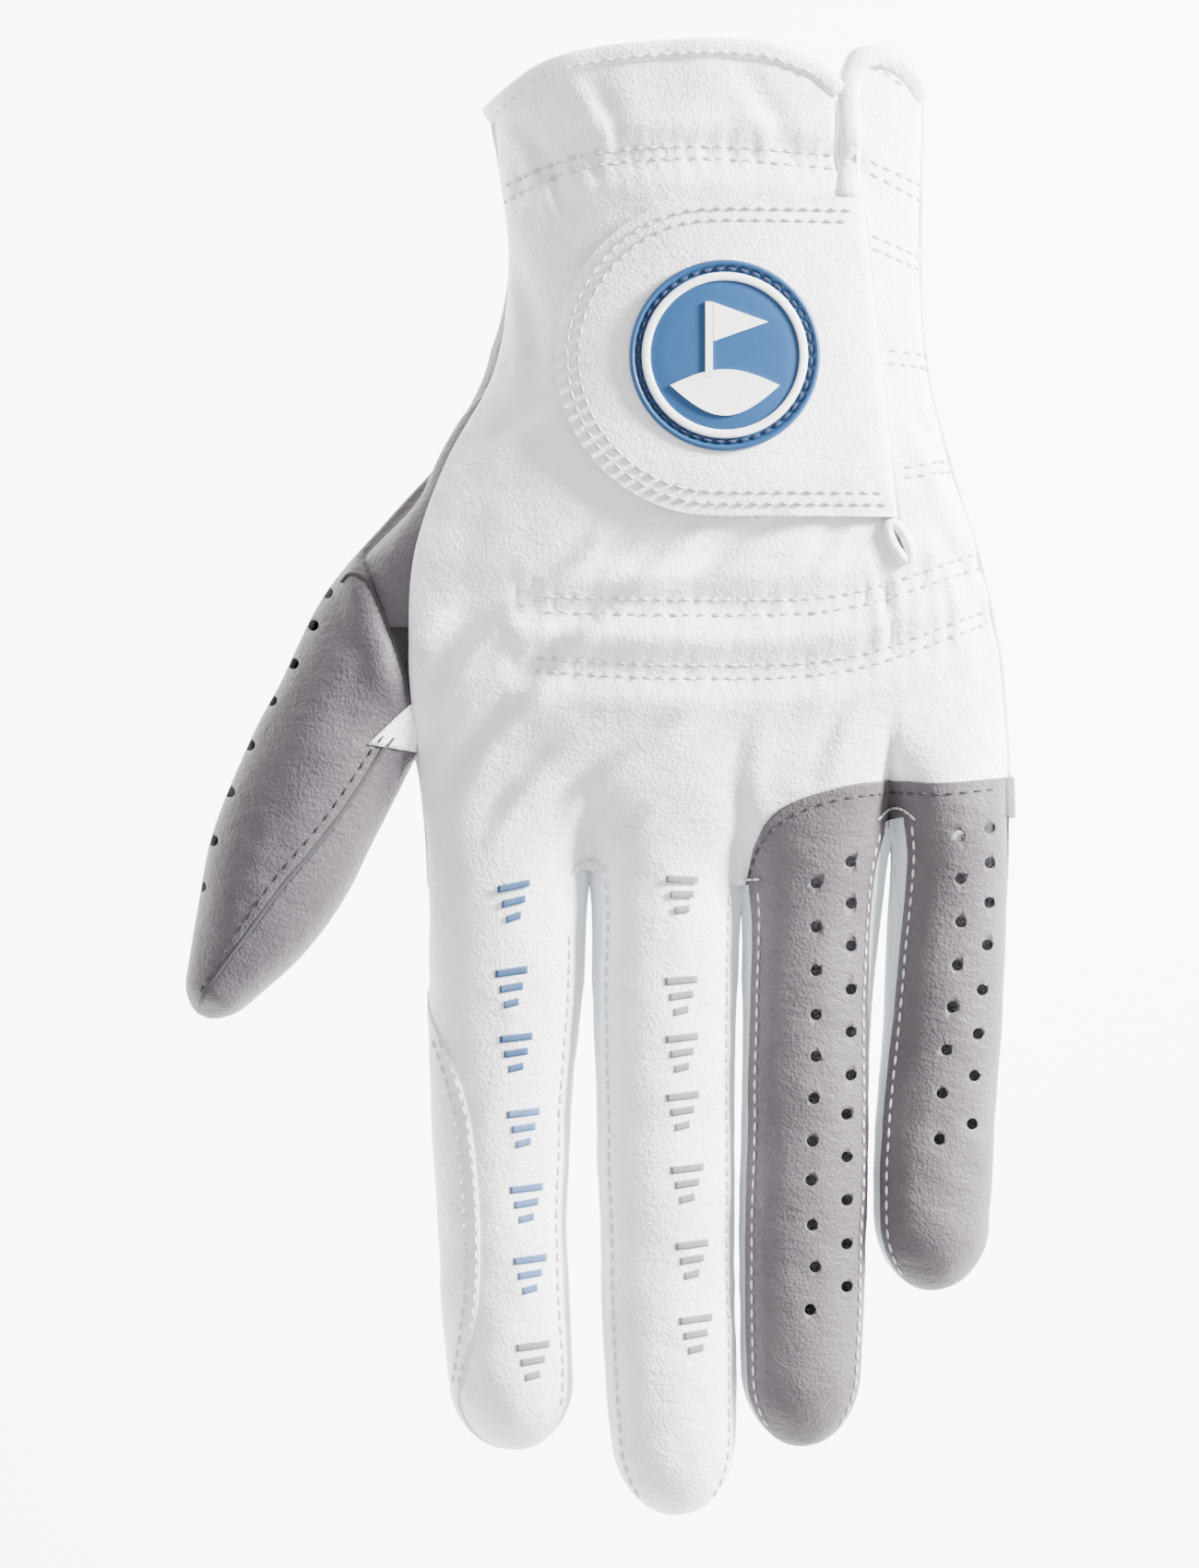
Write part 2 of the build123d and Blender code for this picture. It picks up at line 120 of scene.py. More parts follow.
# The thumb along its own line: distance, outer edge, inner edge, bottom, top
THUMB = [
    (-52, -0.5, 9.0, 3.0, 12.5),
    (-40, -3.4, 12.0, 1.0, 14.6),
    (-28, -6.9, 15.0, 0.4, 15.6),
    (-14, -10.4, 15.0, 0.0, 15.8),
    (0, -10.5, 11.6, 0.0, 15.6),
    (13, -10.3, 11.0, 0.0, 15.4),
    (24, -9.3, 10.9, 0.0, 15.0),
    (34, -6.6, 9.0, 0.2, 13.8),
    (43, -3.9, 5.4, 0.6, 11.6),
    (48, -2.4, 3.2, 1.4, 9.4),
]
THUMB_KNUCKLE = Vector((-35.7, 9.9, 0))
THUMB_ALONG = Vector((-20.9, -42.2, 0)).normalized()
THUMB_ACROSS = Vector((-THUMB_ALONG.y, THUMB_ALONG.x, 0))
THUMB_LENGTH = 47.6
HINGE_HEIGHT = 7.2

# The index finger's wrapped seam: place, angle round the finger
WRAP_SEAM = [
    (-95, 160), (-88, 155), (-83, 138), (-74, 118), (-65, 112), (-54.5, 113), (-45, 121),
    (-38.7, 136), (-34, 158), (-29, 186),
]

# Air holes: ring finger, little finger, thumb's root and thumb
RING_HOLES = [
    (30.4, -13.9), (30.4, -20.1), (30.4, -26.2), (30.4, -32.4), (30.4, -38.3), (30.1, -44.2),
    (29.9, -50.2), (29.7, -55.7), (29.9, -62), (30.3, -67.9), (29.6, -73.9),
    (35.3, -10.9), (35.4, -16.8), (35.4, -22.8), (35.4, -28.9), (35.4, -34.9), (35.4, -41),
    (34.8, -46.5), (34.8, -52.5), (34.8, -58.6), (34.8, -64.8), (34.8, -70.8),
]
LITTLE_HOLES = [
    (50.5, -7.3), (50.7, -13.3), (50.8, -19.4), (50.3, -25.5), (49.6, -31.4), (48.8, -37.4),
    (48.2, -43.5), (47.8, -50),
    (54.8, -6.2), (54.9, -11.1), (54.9, -16.7), (54.6, -22.7), (53.9, -29), (53.3, -35.2),
    (52.8, -41.1), (52.5, -47.9),
]
ROOT_HOLES = [(-38.4, 27.0), (-40.4, 22.4), (-43.2, 17.0)]
THUMB_HOLES = [(-46.3, 11.8), (-49.4, 5.5), (-52.2, -1.1), (-54.6, -8.0), (-56.3, -14.5)]

# Lines drawn on the back of the glove
CUFF_EDGE = [(-15.6, 95.6), (-6.6, 101.2), (6.4, 103.3), (22, 103.4), (29.8, 101.0), (33.4, 97.9)]
FLAP_EDGE = [(33.3, 98.0), (35.2, 102.2), (38.2, 103.2), (41, 102.7), (43.7, 100.9), (46.0, 97.0)]
CROTCHES = [(-30, -15), (-1.4, -12.3), (9, -13.4), (20, -14.4), (31, -11), (41.7, -4.9), (60, -4.5)]
SLIT_LINE = [(33.4, 106), (33.2, 93), (33.4, 86), (36.4, 81.2), (38.7, 60), (41.2, 39.8), (42.4, 32)]
YOKE_EDGE = [
    (20.1, -15), (20.6, -10.5), (22.2, -7.0), (25.8, -3.3), (33.2, -0.7), (39.5, 0.3),
    (48.2, 0.2), (58, 1.0),
]
KNUCKLE_ROWS = [
    [(-7.7, 26.1), (17.7, 25.7), (34.6, 26.6), (53.7, 32.6)],
    [(-7.7, 24.0), (17.7, 23.6), (34.6, 24.6), (53.7, 30.4)],
    [(-9.1, 17.6), (12.0, 16.6), (34.6, 17.7), (54.6, 24.4)],
    [(-9.1, 15.8), (12.0, 14.8), (34.6, 15.9), (54.6, 22.5)],
]
CUFF_ROWS = [
    [(-13.3, 84.3), (-2.9, 87.7), (13.7, 88.9), (33.0, 87.9)],
    [(-13.5, 82.0), (-3.1, 85.9), (13.7, 87.2), (33.0, 86.0)],
]
FLAP_ROWS = [
    [(37.6, 87.3), (45.2, 84.3)], [(37.6, 85.6), (45.2, 82.2)],
    [(37.9, 76.9), (45.0, 74.2)], [(37.9, 75.1), (45.0, 72.4)],
    [(40.2, 60.8), (46.5, 60.3)], [(40.2, 59.0), (46.5, 58.5)],
    [(42.4, 44.3), (49.6, 45.6)], [(42.4, 42.9), (49.6, 44.0)],
]
ROOT_FOLD = [
    (-34.6, 38), (-33.6, 33), (-31.5, 27.5), (-29.3, 22.6), (-27.9, 18.2), (-27.0, 13.6), (-26.8, 8),
]
ROOT_SEAM = [
    (-36.3, 28.4), (-35.3, 29.5), (-33.9, 29.5), (-32.6, 28.4), (-31.0, 25.2), (-29.3, 20.9),
    (-27.6, 15.4), (-27.0, 12.6),
]
TAB_CENTRE = (16.0, 59.5)
TAB_RADIUS = 22.2
BADGE_CENTRE = (17.4, 59.5)

# Creases in the back leather: from, to, half-width, depth
CREASES = [
    ((-22.4, 20.5), (6, 35.3), 2.6, 0.9), ((-24, 12.9), (-1, 37), 1.6, 0.4),
    ((-11.2, 12.9), (2.4, 26.5), 2.0, 0.55), ((3.6, 28.8), (14.2, 35.3), 1.6, 0.6),
    ((13, 29.4), (26, 35.3), 1.7, 0.6), ((29, 30.6), (35.5, 36), 1.4, 0.5),
    ((-23, -3.3), (-11.2, 12.9), 2.0, 0.5), ((-17, -8), (-6, 6), 1.6, 0.35),
    ((-7, -4.3), (10.7, 10.5), 1.8, 0.45), ((1.8, -9), (7.1, -3.7), 0.8, 0.4),
    ((20, -7), (21.3, 8.1), 1.6, 0.35), ((30, 1), (36, 12), 1.8, 0.3),
    ((-12, 93), (-6, 80), 1.5, 0.5), ((20, 99), (26, 86), 1.8, 0.3), ((-2, 99), (3, 86), 1.6, 0.3),
    ((-13.5, 76), (-9, 56), 1.8, 0.5), ((-18, 46), (-7, 52), 1.6, 0.4),
    ((44, 52), (50, 38), 1.6, 0.45), ((47, 36), (55, 16), 1.8, 0.4), ((38.5, 31), (40, 17), 0.9, 0.5),
]


# Numbers and curves

def ease(value, low, high):
    """0 below low, 1 above high, smooth between."""
    t = min(max((value - low) / (high - low), 0), 1)
    return t * t * (3 - 2 * t)


def spline(points, key):
    """The smooth curve through rows of numbers, read at a value of the first column."""
    rows = sorted(points)
    key = min(max(key, rows[0][0]), rows[-1][0])
    i = max(k for k in range(len(rows) - 1) if rows[k][0] <= key or k == 0)
    start, end = rows[i], rows[i + 1]
    before, after = rows[max(i - 1, 0)], rows[min(i + 2, len(rows) - 1)]
    span = end[0] - start[0]
    t = (key - start[0]) / span
    result = []
    for column in range(1, len(start)):
        rise_in = (end[column] - before[column]) / max(end[0] - before[0], 1e-9) * span
        rise_out = (after[column] - start[column]) / max(after[0] - start[0], 1e-9) * span
        h = (2 * t**3 - 3 * t**2 + 1, t**3 - 2 * t**2 + t, -2 * t**3 + 3 * t**2, t**3 - t**2)
        result.append(h[0] * start[column] + h[1] * rise_in + h[2] * end[column] + h[3] * rise_out)
    return result


def along(points, step):
    """Evenly spaced places on the smooth curve through points in plan."""
    lengths = [0.0]
    for a, b in zip(points, points[1:]):
        lengths.append(lengths[-1] + math.dist(a, b))
    rows = [(s, *p) for s, p in zip(lengths, points)]
    count = max(int(round(lengths[-1] / step)), 2)
    return [Vector(spline(rows, lengths[-1] * i / count)) for i in range(count + 1)]


def bell(value, width):
    """1 at zero, falling away smoothly on both sides."""
    return math.exp(-((value / width) ** 2))


def round_to(radius, degrees):
    """The offset in plan at an angle and a distance."""
    return radius * math.cos(math.radians(degrees)), radius * math.sin(math.radians(degrees))


def wander(x, y, z, scale):
    """Smooth noise between about -1 and 1."""
    return noise.noise(Vector((x, y, z)) / scale)


# The glove's surface

def finger_oval(name, y):
    """Centre, half-width, bottom and top of a finger at a place."""
    finger = FINGERS[name]
    left, right, top = spline(finger["rows"], y)
    start = finger["tip"] + finger["round"]
    beyond = min(max((start - y) / finger["round"], 0), 1)
    round_off = (1 - beyond**2.25) ** 0.5
    half = max((right - left) / 2 * round_off, 0.05)
    bottom = top * 0.42 * (1 - round_off**0.8)
    return (left + right) / 2, half, bottom, bottom + (top - bottom) * (0.12 + 0.88 * round_off**0.8)


def oval_height(offset, bottom, top):
    """Height of an oval's upper side, offset from -1 to 1 across it."""
    rise = (top - bottom) / OVAL_HEIGHT
    return bottom + rise * OVAL_SIDE + rise * math.sqrt(max(1 - offset * offset, 0))


def last_row(x):
    """Where the hand ends and the fingers start."""
    return spline(CROTCHES, x)[0]


def hand_height(x, y):
    """Height of the back of the hand before creases."""
    left, right, top, _ = spline(HAND, y)
    whole = oval_height((2 * x - left - right) / (right - left), 0, top)
    near = last_row(x)
    blend = ease(near + 22 - y, 0, 22) ** 2.4
    if blend == 0:
        return whole
    ridges = 6.6
    for name in FINGERS:
        centre, half, bottom, height = finger_oval(name, y)
        offset = (x - centre) / half
        if abs(offset) < 1:
            ridges = max(ridges, oval_height(offset, bottom, height))
    return whole + (ridges - whole) * blend


def crease(x, y):
    """Depth of the long creases at a place."""
    depth = 0.0
    for (x0, y0), (x1, y1), width, size in CREASES:
        dx, dy = x1 - x0, y1 - y0
        length = math.hypot(dx, dy)
        s = ((x - x0) * dx + (y - y0) * dy) / length
        if -3 < s < length + 3:
            side = ((x - x0) * dy - (y - y0) * dx) / length + 1.2 * math.sin(s / 6)
            fade = ease(s, -3, 5) * ease(length - s, -3, 5)
            depth += size * fade * (0.7 * bell(side - width, width) - bell(side, width))
    return depth


def gathers(x, y):
    """Fine upright puckers where elastic draws the leather in."""
    total = 0.0
    for row in (KNUCKLE_ROWS[0], KNUCKLE_ROWS[2], CUFF_ROWS[0]):
        if row[0][0] - 4 < x < row[-1][0] + 4:
            offset = y - (spline(row, x)[0] - 1)
            if abs(offset) < 9:
                wave = math.sin(x * 2.3 + 2.4 * wander(x, y, 3, 5))
                total += 0.26 * wave * bell(offset, 3.8)
                total += 0.45 * bell(abs(offset) - 4.2, 1.8) - 0.75 * bell(offset, 2.4)
    return total


def relief(x, y):
    """All the unevenness of the back leather."""
    rough = 0.7 * wander(x, y, 0, 17) + 0.34 * wander(x, y, 5, 6.5) + 0.1 * wander(x, y, 9, 2.2)
    return rough + 2.2 * crease(x, y) + gathers(x, y)


def back(x, y, lift=0.0):
    """A point on the back of the hand."""
    quiet = 0.25 if math.dist((x, y), TAB_CENTRE) < TAB_RADIUS + 1 and lift > 0.9 else 1.0
    return Vector((x, y, hand_height(x, y) + relief(x, y) * quiet + lift))


def finger_point(name, y, angle, lift=0.0):
    """A point on a finger, angle 0 at its right side and 90 on top."""
    centre, half, bottom, top = finger_oval(name, y)
    c, s = math.cos(math.radians(angle)), math.sin(math.radians(angle))
    rise = (top - bottom) / OVAL_HEIGHT
    x = centre + (half + lift) * c
    shift = (last_row(x) + 14) * ease(y, -34, -14)
    middle_height = bottom + rise * OVAL_SIDE
    z = max(middle_height + (rise + lift) * s, bottom - 0.1 * lift)
    bump = 0.34 * wander(x, y, z, 12) + 0.2 * wander(x, y, z + 40, 4.2) + 0.06 * wander(x, y, z, 1.8)
    bump -= 0.5 * bell(y + 48, 3.2) * max(s, 0) * (0.4 + 0.6 * wander(x, y, 3, 4))
    joined = ease(y, -30, -14) if s > 0.1 else 0.0
    point = Vector((x + bump * c * 0.6, y + shift, max(z + bump * (0.35 + 0.65 * max(s, 0)), 0.02)))
    if joined and name != "little" or joined and s > 0.3:
        hand = Vector((x, y + shift, hand_height(x, y + shift) + relief(x, y + shift) + lift))
        point = point.lerp(hand, joined * ease(s, 0.1, 0.5))
    return point


def thumb_point(distance, angle, lift=0.0):
    """A point on the thumb, angle 0 at its inner side and 90 on top."""
    outer, inner, bottom, top = spline(THUMB, distance)
    beyond = min(max((distance - THUMB_LENGTH + 4) / 4, 0), 1)
    round_off = (1 - beyond**2.2) ** 0.5
    middle = (outer + inner) / 2
    half = max((inner - outer) / 2 * round_off, 0.05)
    bottom += top * 0.4 * (1 - round_off)
    top = bottom + (top - bottom) * round_off
    c, s = math.cos(math.radians(angle)), math.sin(math.radians(angle))
    rise = max((top - bottom) / OVAL_HEIGHT, 0.05)
    place = THUMB_KNUCKLE + THUMB_ALONG * distance + THUMB_ACROSS * (middle + (half + lift) * c)
    z = max(bottom + rise * OVAL_SIDE + (rise + lift) * s, bottom)
    bump = 0.42 * wander(place.x, place.y, z, 9) + 0.2 * wander(place.x, place.y, z + 40, 3.4)
    fold = 0.55 * bell(distance + 14, 2.2) * max(s, 0)
    return Vector((place.x, place.y, max(z + bump * (0.4 + 0.6 * max(s, 0)) - fold, 0.02)))


# Materials

def material(name, build):
    """A node material filled in by a function that is given its nodes, links and shader."""
    made = bpy.data.materials.new(name)
    made.use_nodes = True
    nodes, links = made.node_tree.nodes, made.node_tree.links
    build(nodes, links, nodes["Principled BSDF"])
    return made


def add_node(nodes, kind, inputs=None, operation=None):
    """A shader node of one kind, with some of its inputs and its operation set."""
    made = nodes.new("ShaderNode" + kind)
    if operation:
        made.operation = operation
    for key, value in (inputs or {}).items():
        made.inputs[key].default_value = value
    return made


def tone_ramp(nodes, dark, light, low=0.0, high=1.0):
    """A ramp from a dark colour to a light one between two places."""
    ramp = nodes.new("ShaderNodeValToRGB")
    for element, place, colour in zip(ramp.color_ramp.elements, (low, high), (dark, light)):
        element.position = place
        element.color = (*colour, 1)
    return ramp


def join(links, pairs):
    """Links each output to its input."""
    for source, output, target, socket in pairs:
        links.new(source.outputs[output], target.inputs[socket])


def leather(name, light, dark, rough=0.58):
    """Fine-grained glove leather with slight random changes of tone and shine, and painted shade that
    darkens the colour in the valleys of the slanted wrinkle bump.
    """

    def build(nodes, links, shader):
        place = add_node(nodes, "TexCoord")
        tone = add_node(nodes, "TexNoise", {"Scale": 70, "Detail": 6})
        ramp = tone_ramp(nodes, dark, light, 0.36, 0.56)
        pores = add_node(nodes, "TexVoronoi", {"Scale": 2100})
        fine = add_node(nodes, "TexNoise", {"Scale": 1300, "Detail": 5})
        turn = (0, 0, math.radians(-42))
        slant = add_node(nodes, "Mapping", {"Rotation": turn, "Scale": (0.3, 1, 1)})
        wrinkles = add_node(nodes, "TexNoise", {"Scale": 900, "Detail": 4})
        mix = add_node(nodes, "Math", operation="ADD")
        deep = add_node(nodes, "Math", {1: 2.6}, "MULTIPLY_ADD")
        bump = add_node(nodes, "Bump", {"Strength": 0.6, "Distance": 0.00015})
        shine = add_node(nodes, "MapRange", {"To Min": rough - 0.07, "To Max": rough + 0.09})
        # Painted shade: the slanted wrinkle noise that dents the bump is also added into the colour, so the
        # leather is darker in its valleys; the large tone noise on top gives random tone.
        blend = add_node(nodes, "Math", {1: 0.3}, "MULTIPLY_ADD")
        soft = add_node(nodes, "Math", {1: 0.7}, "MULTIPLY")
        join(links, (
            (place, "Object", tone, "Vector"),
            (place, "Object", pores, "Vector"),
            (place, "Object", fine, "Vector"),
            (tone, "Fac", soft, 0),
            (wrinkles, "Fac", blend, 0),
            (soft, "Value", blend, 2),
            (blend, "Value", ramp, "Fac"),
            (ramp, "Color", shader, "Base Color"),
            (pores, "Distance", mix, 0),
            (fine, "Fac", mix, 1),
            (place, "Object", slant, "Vector"),
            (slant, "Vector", wrinkles, "Vector"),
            (wrinkles, "Fac", deep, 0),
            (mix, "Value", deep, 2),
            (deep, "Value", bump, "Height"),
            (bump, "Normal", shader, "Normal"),
            (fine, "Fac", shine, "Value"),
            (shine, "Result", shader, "Roughness"),
        ))
        shader.inputs["Specular IOR Level"].default_value = 0.35
        shader.inputs["Sheen Weight"].default_value = 0.08

    return material(name, build)


def cloth(name, light, dark, weave, rough=0.85):
    """Woven, knitted or twisted fibre with a visible weave."""

    def build(nodes, links, shader):
        place = add_node(nodes, "TexCoord")
        waves = add_node(nodes, "TexWave", {"Scale": weave, "Distortion": 1.5})
        grain = add_node(nodes, "TexNoise", {"Scale": weave * 2})
        ramp = tone_ramp(nodes, dark, light)
        bump = add_node(nodes, "Bump", {"Strength": 0.5, "Distance": 0.0001})
        join(links, (
            (place, "Object", waves, "Vector"),
            (place, "Object", grain, "Vector"),
            (grain, "Fac", ramp, "Fac"),
            (ramp, "Color", shader, "Base Color"),
            (waves, "Fac", bump, "Height"),
            (bump, "Normal", shader, "Normal"),
        ))
        shader.inputs["Roughness"].default_value = rough

    return material(name, build)


def rubber(name, colour):
    """Smooth moulded rubber with a soft shine."""

    def build(nodes, links, shader):
        place = add_node(nodes, "TexCoord")
        grain = add_node(nodes, "TexNoise", {"Scale": 600})
        shine = add_node(nodes, "MapRange", {"To Min": 0.34, "To Max": 0.50})
        join(links, (
            (place, "Object", grain, "Vector"),
            (grain, "Fac", shine, "Value"),
            (shine, "Result", shader, "Roughness"),
        ))
        shader.inputs["Base Color"].default_value = (*colour, 1)
        shader.inputs["Specular IOR Level"].default_value = 0.3

    return material(name, build)


WHITE = leather("white_leather", (0.88, 0.88, 0.91), (0.78, 0.775, 0.83))
# A darker copy of the white leather: painted shade on the palm-side pieces, the palm's cuff binding and the
# index finger's wrap.
SHADED_WHITE = leather("palm_leather_shaded", (0.84, 0.84, 0.87), (0.70, 0.70, 0.75), 0.6)
GREY = leather("grey_leather", (0.103, 0.088, 0.100), (0.082, 0.069, 0.080))
# A darker copy of the grey leather: painted shade on the thumb, its root and its side.
SHADED_GREY = leather("thumb_leather_shaded", (0.080, 0.068, 0.079), (0.062, 0.052, 0.061))
SIDES = cloth("side_strip", (0.74, 0.79, 0.81), (0.66, 0.71, 0.74), 1400)
THREAD = cloth("white_thread", (0.80, 0.80, 0.83), (0.62, 0.62, 0.67), 2600)
DARK_THREAD = cloth("grey_thread", (0.060, 0.058, 0.064), (0.035, 0.035, 0.039), 2600)
NAVY_THREAD = cloth("navy_thread", (0.016, 0.030, 0.085), (0.008, 0.014, 0.045), 2600)
# Painted shade: grey capsules laid just under the stitches, a little wider than the thread, standing for the
# shadow round each stitch and in its needle holes.
SHADE = cloth("needle_hole_shade", (0.30, 0.30, 0.34), (0.22, 0.22, 0.26), 2600)
BLUE = rubber("badge_blue", (0.012, 0.055, 0.145))
BADGE_WHITE = rubber("badge_white", (0.86, 0.87, 0.90))
PRINT_BLUE = cloth("print_blue", (0.030, 0.085, 0.200), (0.024, 0.070, 0.170), 3000, 0.6)
PRINT_PALE = cloth("print_pale_blue", (0.085, 0.155, 0.300), (0.070, 0.135, 0.270), 3000, 0.6)
PRINT_GREY = cloth("print_grey", (0.215, 0.222, 0.235), (0.180, 0.187, 0.200), 3000, 0.6)
ELASTIC = cloth("elastic", (0.72, 0.72, 0.76), (0.60, 0.60, 0.64), 900)


# Building meshes

def move_with(obj, body):
    """Makes a hand piece ride on the hand's body; any other piece just has its placing baked into its mesh.
    """
    if body == "hand":
        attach(obj, "hand")
    elif body == "tab":
        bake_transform(obj)
    elif body == "thumb":
        start, end = THUMB_KNUCKLE - THUMB_ALONG * 5, THUMB_KNUCKLE + THUMB_ALONG * 12
        start.z = end.z = HINGE_HEIGHT
        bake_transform(obj)
    else:
        start = min(last_row(FINGERS[body]["rows"][1][1]), last_row(FINGERS[body]["rows"][1][2]))
        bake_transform(obj)


def finish_piece(name, mesh, look, body, nodes=()):
    """Turns a mesh into a shown, painted piece and passes it to move_with with its body."""
    obj = bpy.data.objects.new(name, mesh)
    bpy.context.scene.collection.objects.link(obj)
    mesh.materials.append(look)
    for face in mesh.polygons:
        face.use_smooth = True
    move_with(obj, body)
    if nodes:
        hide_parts(*nodes)
    return obj


def grid(rows):
    """A bmesh skin through rows of points."""
    skin = bmesh.new()
    lines = [[skin.verts.new(p) for p in row] for row in rows]
    for first, second in zip(lines, lines[1:]):
        for i in range(len(first) - 1):
            skin.faces.new((first[i], first[i + 1], second[i + 1], second[i]))
    return skin


def pierced(mesh, holes):
    """The mesh with round air holes cut down through it."""
    pins = bmesh.new()
    for x, y in holes:
        bmesh.ops.create_cone(
            pins, cap_ends=True, segments=18, radius1=HOLE_RADIUS * MM, radius2=HOLE_RADIUS * MM,
            depth=0.012, matrix=Matrix.Translation((x * MM, y * MM, 0.0145)),
        )
    pin_mesh = bpy.data.meshes.new("pins")
    pins.to_mesh(pin_mesh)
    pins.free()
    cutter = bpy.data.objects.new("pins", pin_mesh)
    blank = bpy.data.objects.new("blank", mesh)
    for obj in (cutter, blank):
        bpy.context.scene.collection.objects.link(obj)
    cut = blank.modifiers.new("cut", "BOOLEAN")
    cut.operation = "DIFFERENCE"
    cut.solver = "EXACT"
    cut.object = cutter
    result = bpy.data.meshes.new_from_object(blank.evaluated_get(bpy.context.evaluated_depsgraph_get()))
    bpy.data.objects.remove(cutter)
    bpy.data.objects.remove(blank)
    return result


def at_join(point):
    """Whether a point is on the line where the hand's leather runs on into a digit's."""
    if point.x < -25.4:
        return abs((point - THUMB_KNUCKLE).dot(THUMB_ALONG)) < 0.2
    return abs(point.y - last_row(point.x)) < 0.25 and point.z > 7


def panel(name, skins, look, body, nodes=(), thickness=LEATHER, outward=(0, 0, 1), holes=()):
    """A sheet of leather made of one or more skins, given thickness on its inner side."""
    mesh = bpy.data.meshes.new(name)
    whole = bmesh.new()
    for skin in skins:
        part = bpy.data.meshes.new("part")
        skin.to_mesh(part)
        skin.free()
        whole.from_mesh(part)
        bpy.data.meshes.remove(part)
    bmesh.ops.remove_doubles(whole, verts=whole.verts, dist=0.02)
    whole.normal_update()
    facing = sum((f.normal * f.calc_area() for f in whole.faces), Vector())
    if facing.dot(Vector(outward)) < 0:
        bmesh.ops.reverse_faces(whole, faces=whole.faces)
    whole.normal_update()
    whole.verts.ensure_lookup_table()
    outer_faces = list(whole.faces)
    rims = {e for e in whole.edges if e.is_boundary and not all(at_join(v.co) for v in e.verts)}
    copies = {}
    for vert in list(whole.verts):
        copies[vert] = whole.verts.new(vert.co - vert.normal * thickness)
    for vert in whole.verts:
        vert.co.z = max(vert.co.z, 0.0)
    for face in outer_faces:
        edge_pairs = [e for e in face.edges if e in rims]
        whole.faces.new([copies[v] for v in reversed(face.verts)])
        for edge in edge_pairs:
            a, b = edge.verts
            loop = next(l for l in edge.link_loops if l.face == face)
            if loop.vert != a:
                a, b = b, a
            try:
                whole.faces.new((b, a, copies[a], copies[b]))
            except ValueError:
                pass
    bmesh.ops.transform(whole, matrix=Matrix.Scale(MM, 4), verts=whole.verts)
    whole.to_mesh(mesh)
    whole.free()
    if holes:
        mesh = pierced(mesh, holes)
    return finish_piece(name, mesh, look, body, nodes)


def stitches(name, rows, look, body, nodes=(), pitch=STITCH_PITCH, radius=STITCH_RADIUS):
    """Single raised stitches laid end to end along rows of points in space."""
    mesh = bpy.data.meshes.new(name)
    thread = bmesh.new()
    for row in rows:
        lengths = [0.0]
        for a, b in zip(row, row[1:]):
            lengths.append(lengths[-1] + (b - a).length)
        track = [(s, *p) for s, p in zip(lengths, row)]
        count = int(lengths[-1] / pitch)
        for i in range(count):
            middle = lengths[-1] * (i + 0.5) / count
            a = Vector(spline(track, middle - STITCH_LENGTH / 2))
            b = Vector(spline(track, middle + STITCH_LENGTH / 2))
            turn = (b - a).to_track_quat("X", "Z").to_matrix().to_4x4()
            size = Matrix.Diagonal(((b - a).length / 2 + 0.1, radius, radius, 1))
            bmesh.ops.create_icosphere(
                thread, subdivisions=1, radius=1,
                matrix=Matrix.Translation((a + b) / 2) @ turn @ size,
            )
    bmesh.ops.transform(thread, matrix=Matrix.Scale(MM, 4), verts=thread.verts)
    thread.to_mesh(mesh)
    thread.free()
    return finish_piece(name, mesh, look, body, nodes)


def rope(name, path, width, height, look, body, nodes=(), closed=False, sides=10):
    """A flattened round band swept along a path, wide across and low in height."""
    mesh = bpy.data.meshes.new(name)
    band = bmesh.new()
    rings = []
    for i, point in enumerate(path):
        ahead = path[(i + 1) % len(path)] if closed or i + 1 < len(path) else point
        behind = path[i - 1] if closed or i > 0 else point
        forward = (ahead - behind).normalized()
        across = forward.cross(Vector((0, 0, 1))).normalized()
        up = across.cross(forward)
        ring = []
        for k in range(sides):
            angle = math.tau * k / sides
            offset = across * width / 2 * math.cos(angle) + up * height / 2 * math.sin(angle)
            ring.append(band.verts.new(point + offset))
        rings.append(ring)
    pairs = zip(rings, rings[1:] + rings[:1]) if closed else zip(rings, rings[1:])
    for first, second in pairs:
        for k in range(sides):
            band.faces.new((first[k], first[(k + 1) % sides], second[(k + 1) % sides], second[k]))
    if not closed:
        band.faces.new(rings[0][::-1])
        band.faces.new(rings[-1])
    bmesh.ops.recalc_face_normals(band, faces=band.faces)
    bmesh.ops.transform(band, matrix=Matrix.Scale(MM, 4), verts=band.verts)
    band.to_mesh(mesh)
    band.free()
    return finish_piece(name, mesh, look, body, nodes)


# The hand

def hand_row(y, x_from, x_to, count):
    """A row of points across the back of the hand, closer together where it falls away."""
    left, right, _, _ = spline(HAND, y)
    middle, half = (left + right) / 2, (right - left) / 2
    turn_from = math.acos(max(min((x_from - middle) / half, 1), -1))
    turn_to = math.acos(max(min((x_to - middle) / half, 1), -1))
    row = []
    for i in range(count + 1):
        x = middle + half * math.cos(turn_from + (turn_to - turn_from) * i / count)
        low = (last_row(x) + 14) * ease(16 - y, 0, 30)
        edge = FLAP_EDGE if x > 33.35 else CUFF_EDGE
        high = (spline(edge, x)[0] - 104) * ease(y, 84, 104)
        row.append(back(x, y + low + high))
    return row


def slit_x(y):
    """Where the wrist slit runs at a place."""
    return spline([(b, a) for a, b in SLIT_LINE], y)[0]


def palm_sides(y):
    """The palm's thumb side, its other side and the hand's height."""
    left, right, top, edge = spline(HAND, y)
    return max(left, edge - 1.4 - 7 * ease(42 - y, 0, 14)), right, top


def on_root(x, y, lift):
    """A point on the thumb root's leather above a place in plan."""
    offset = Vector((x, y, 0)) - THUMB_KNUCKLE
    distance = offset.dot(THUMB_ALONG)
    outer, inner, _, _ = spline(THUMB, distance)
    share = (offset.dot(THUMB_ACROSS) - (outer + inner) / 2) / ((inner - outer) / 2)
    angle = math.degrees(math.acos(max(min(share, 1), -1)))
    return root_fold(thumb_point(distance, angle, lift))


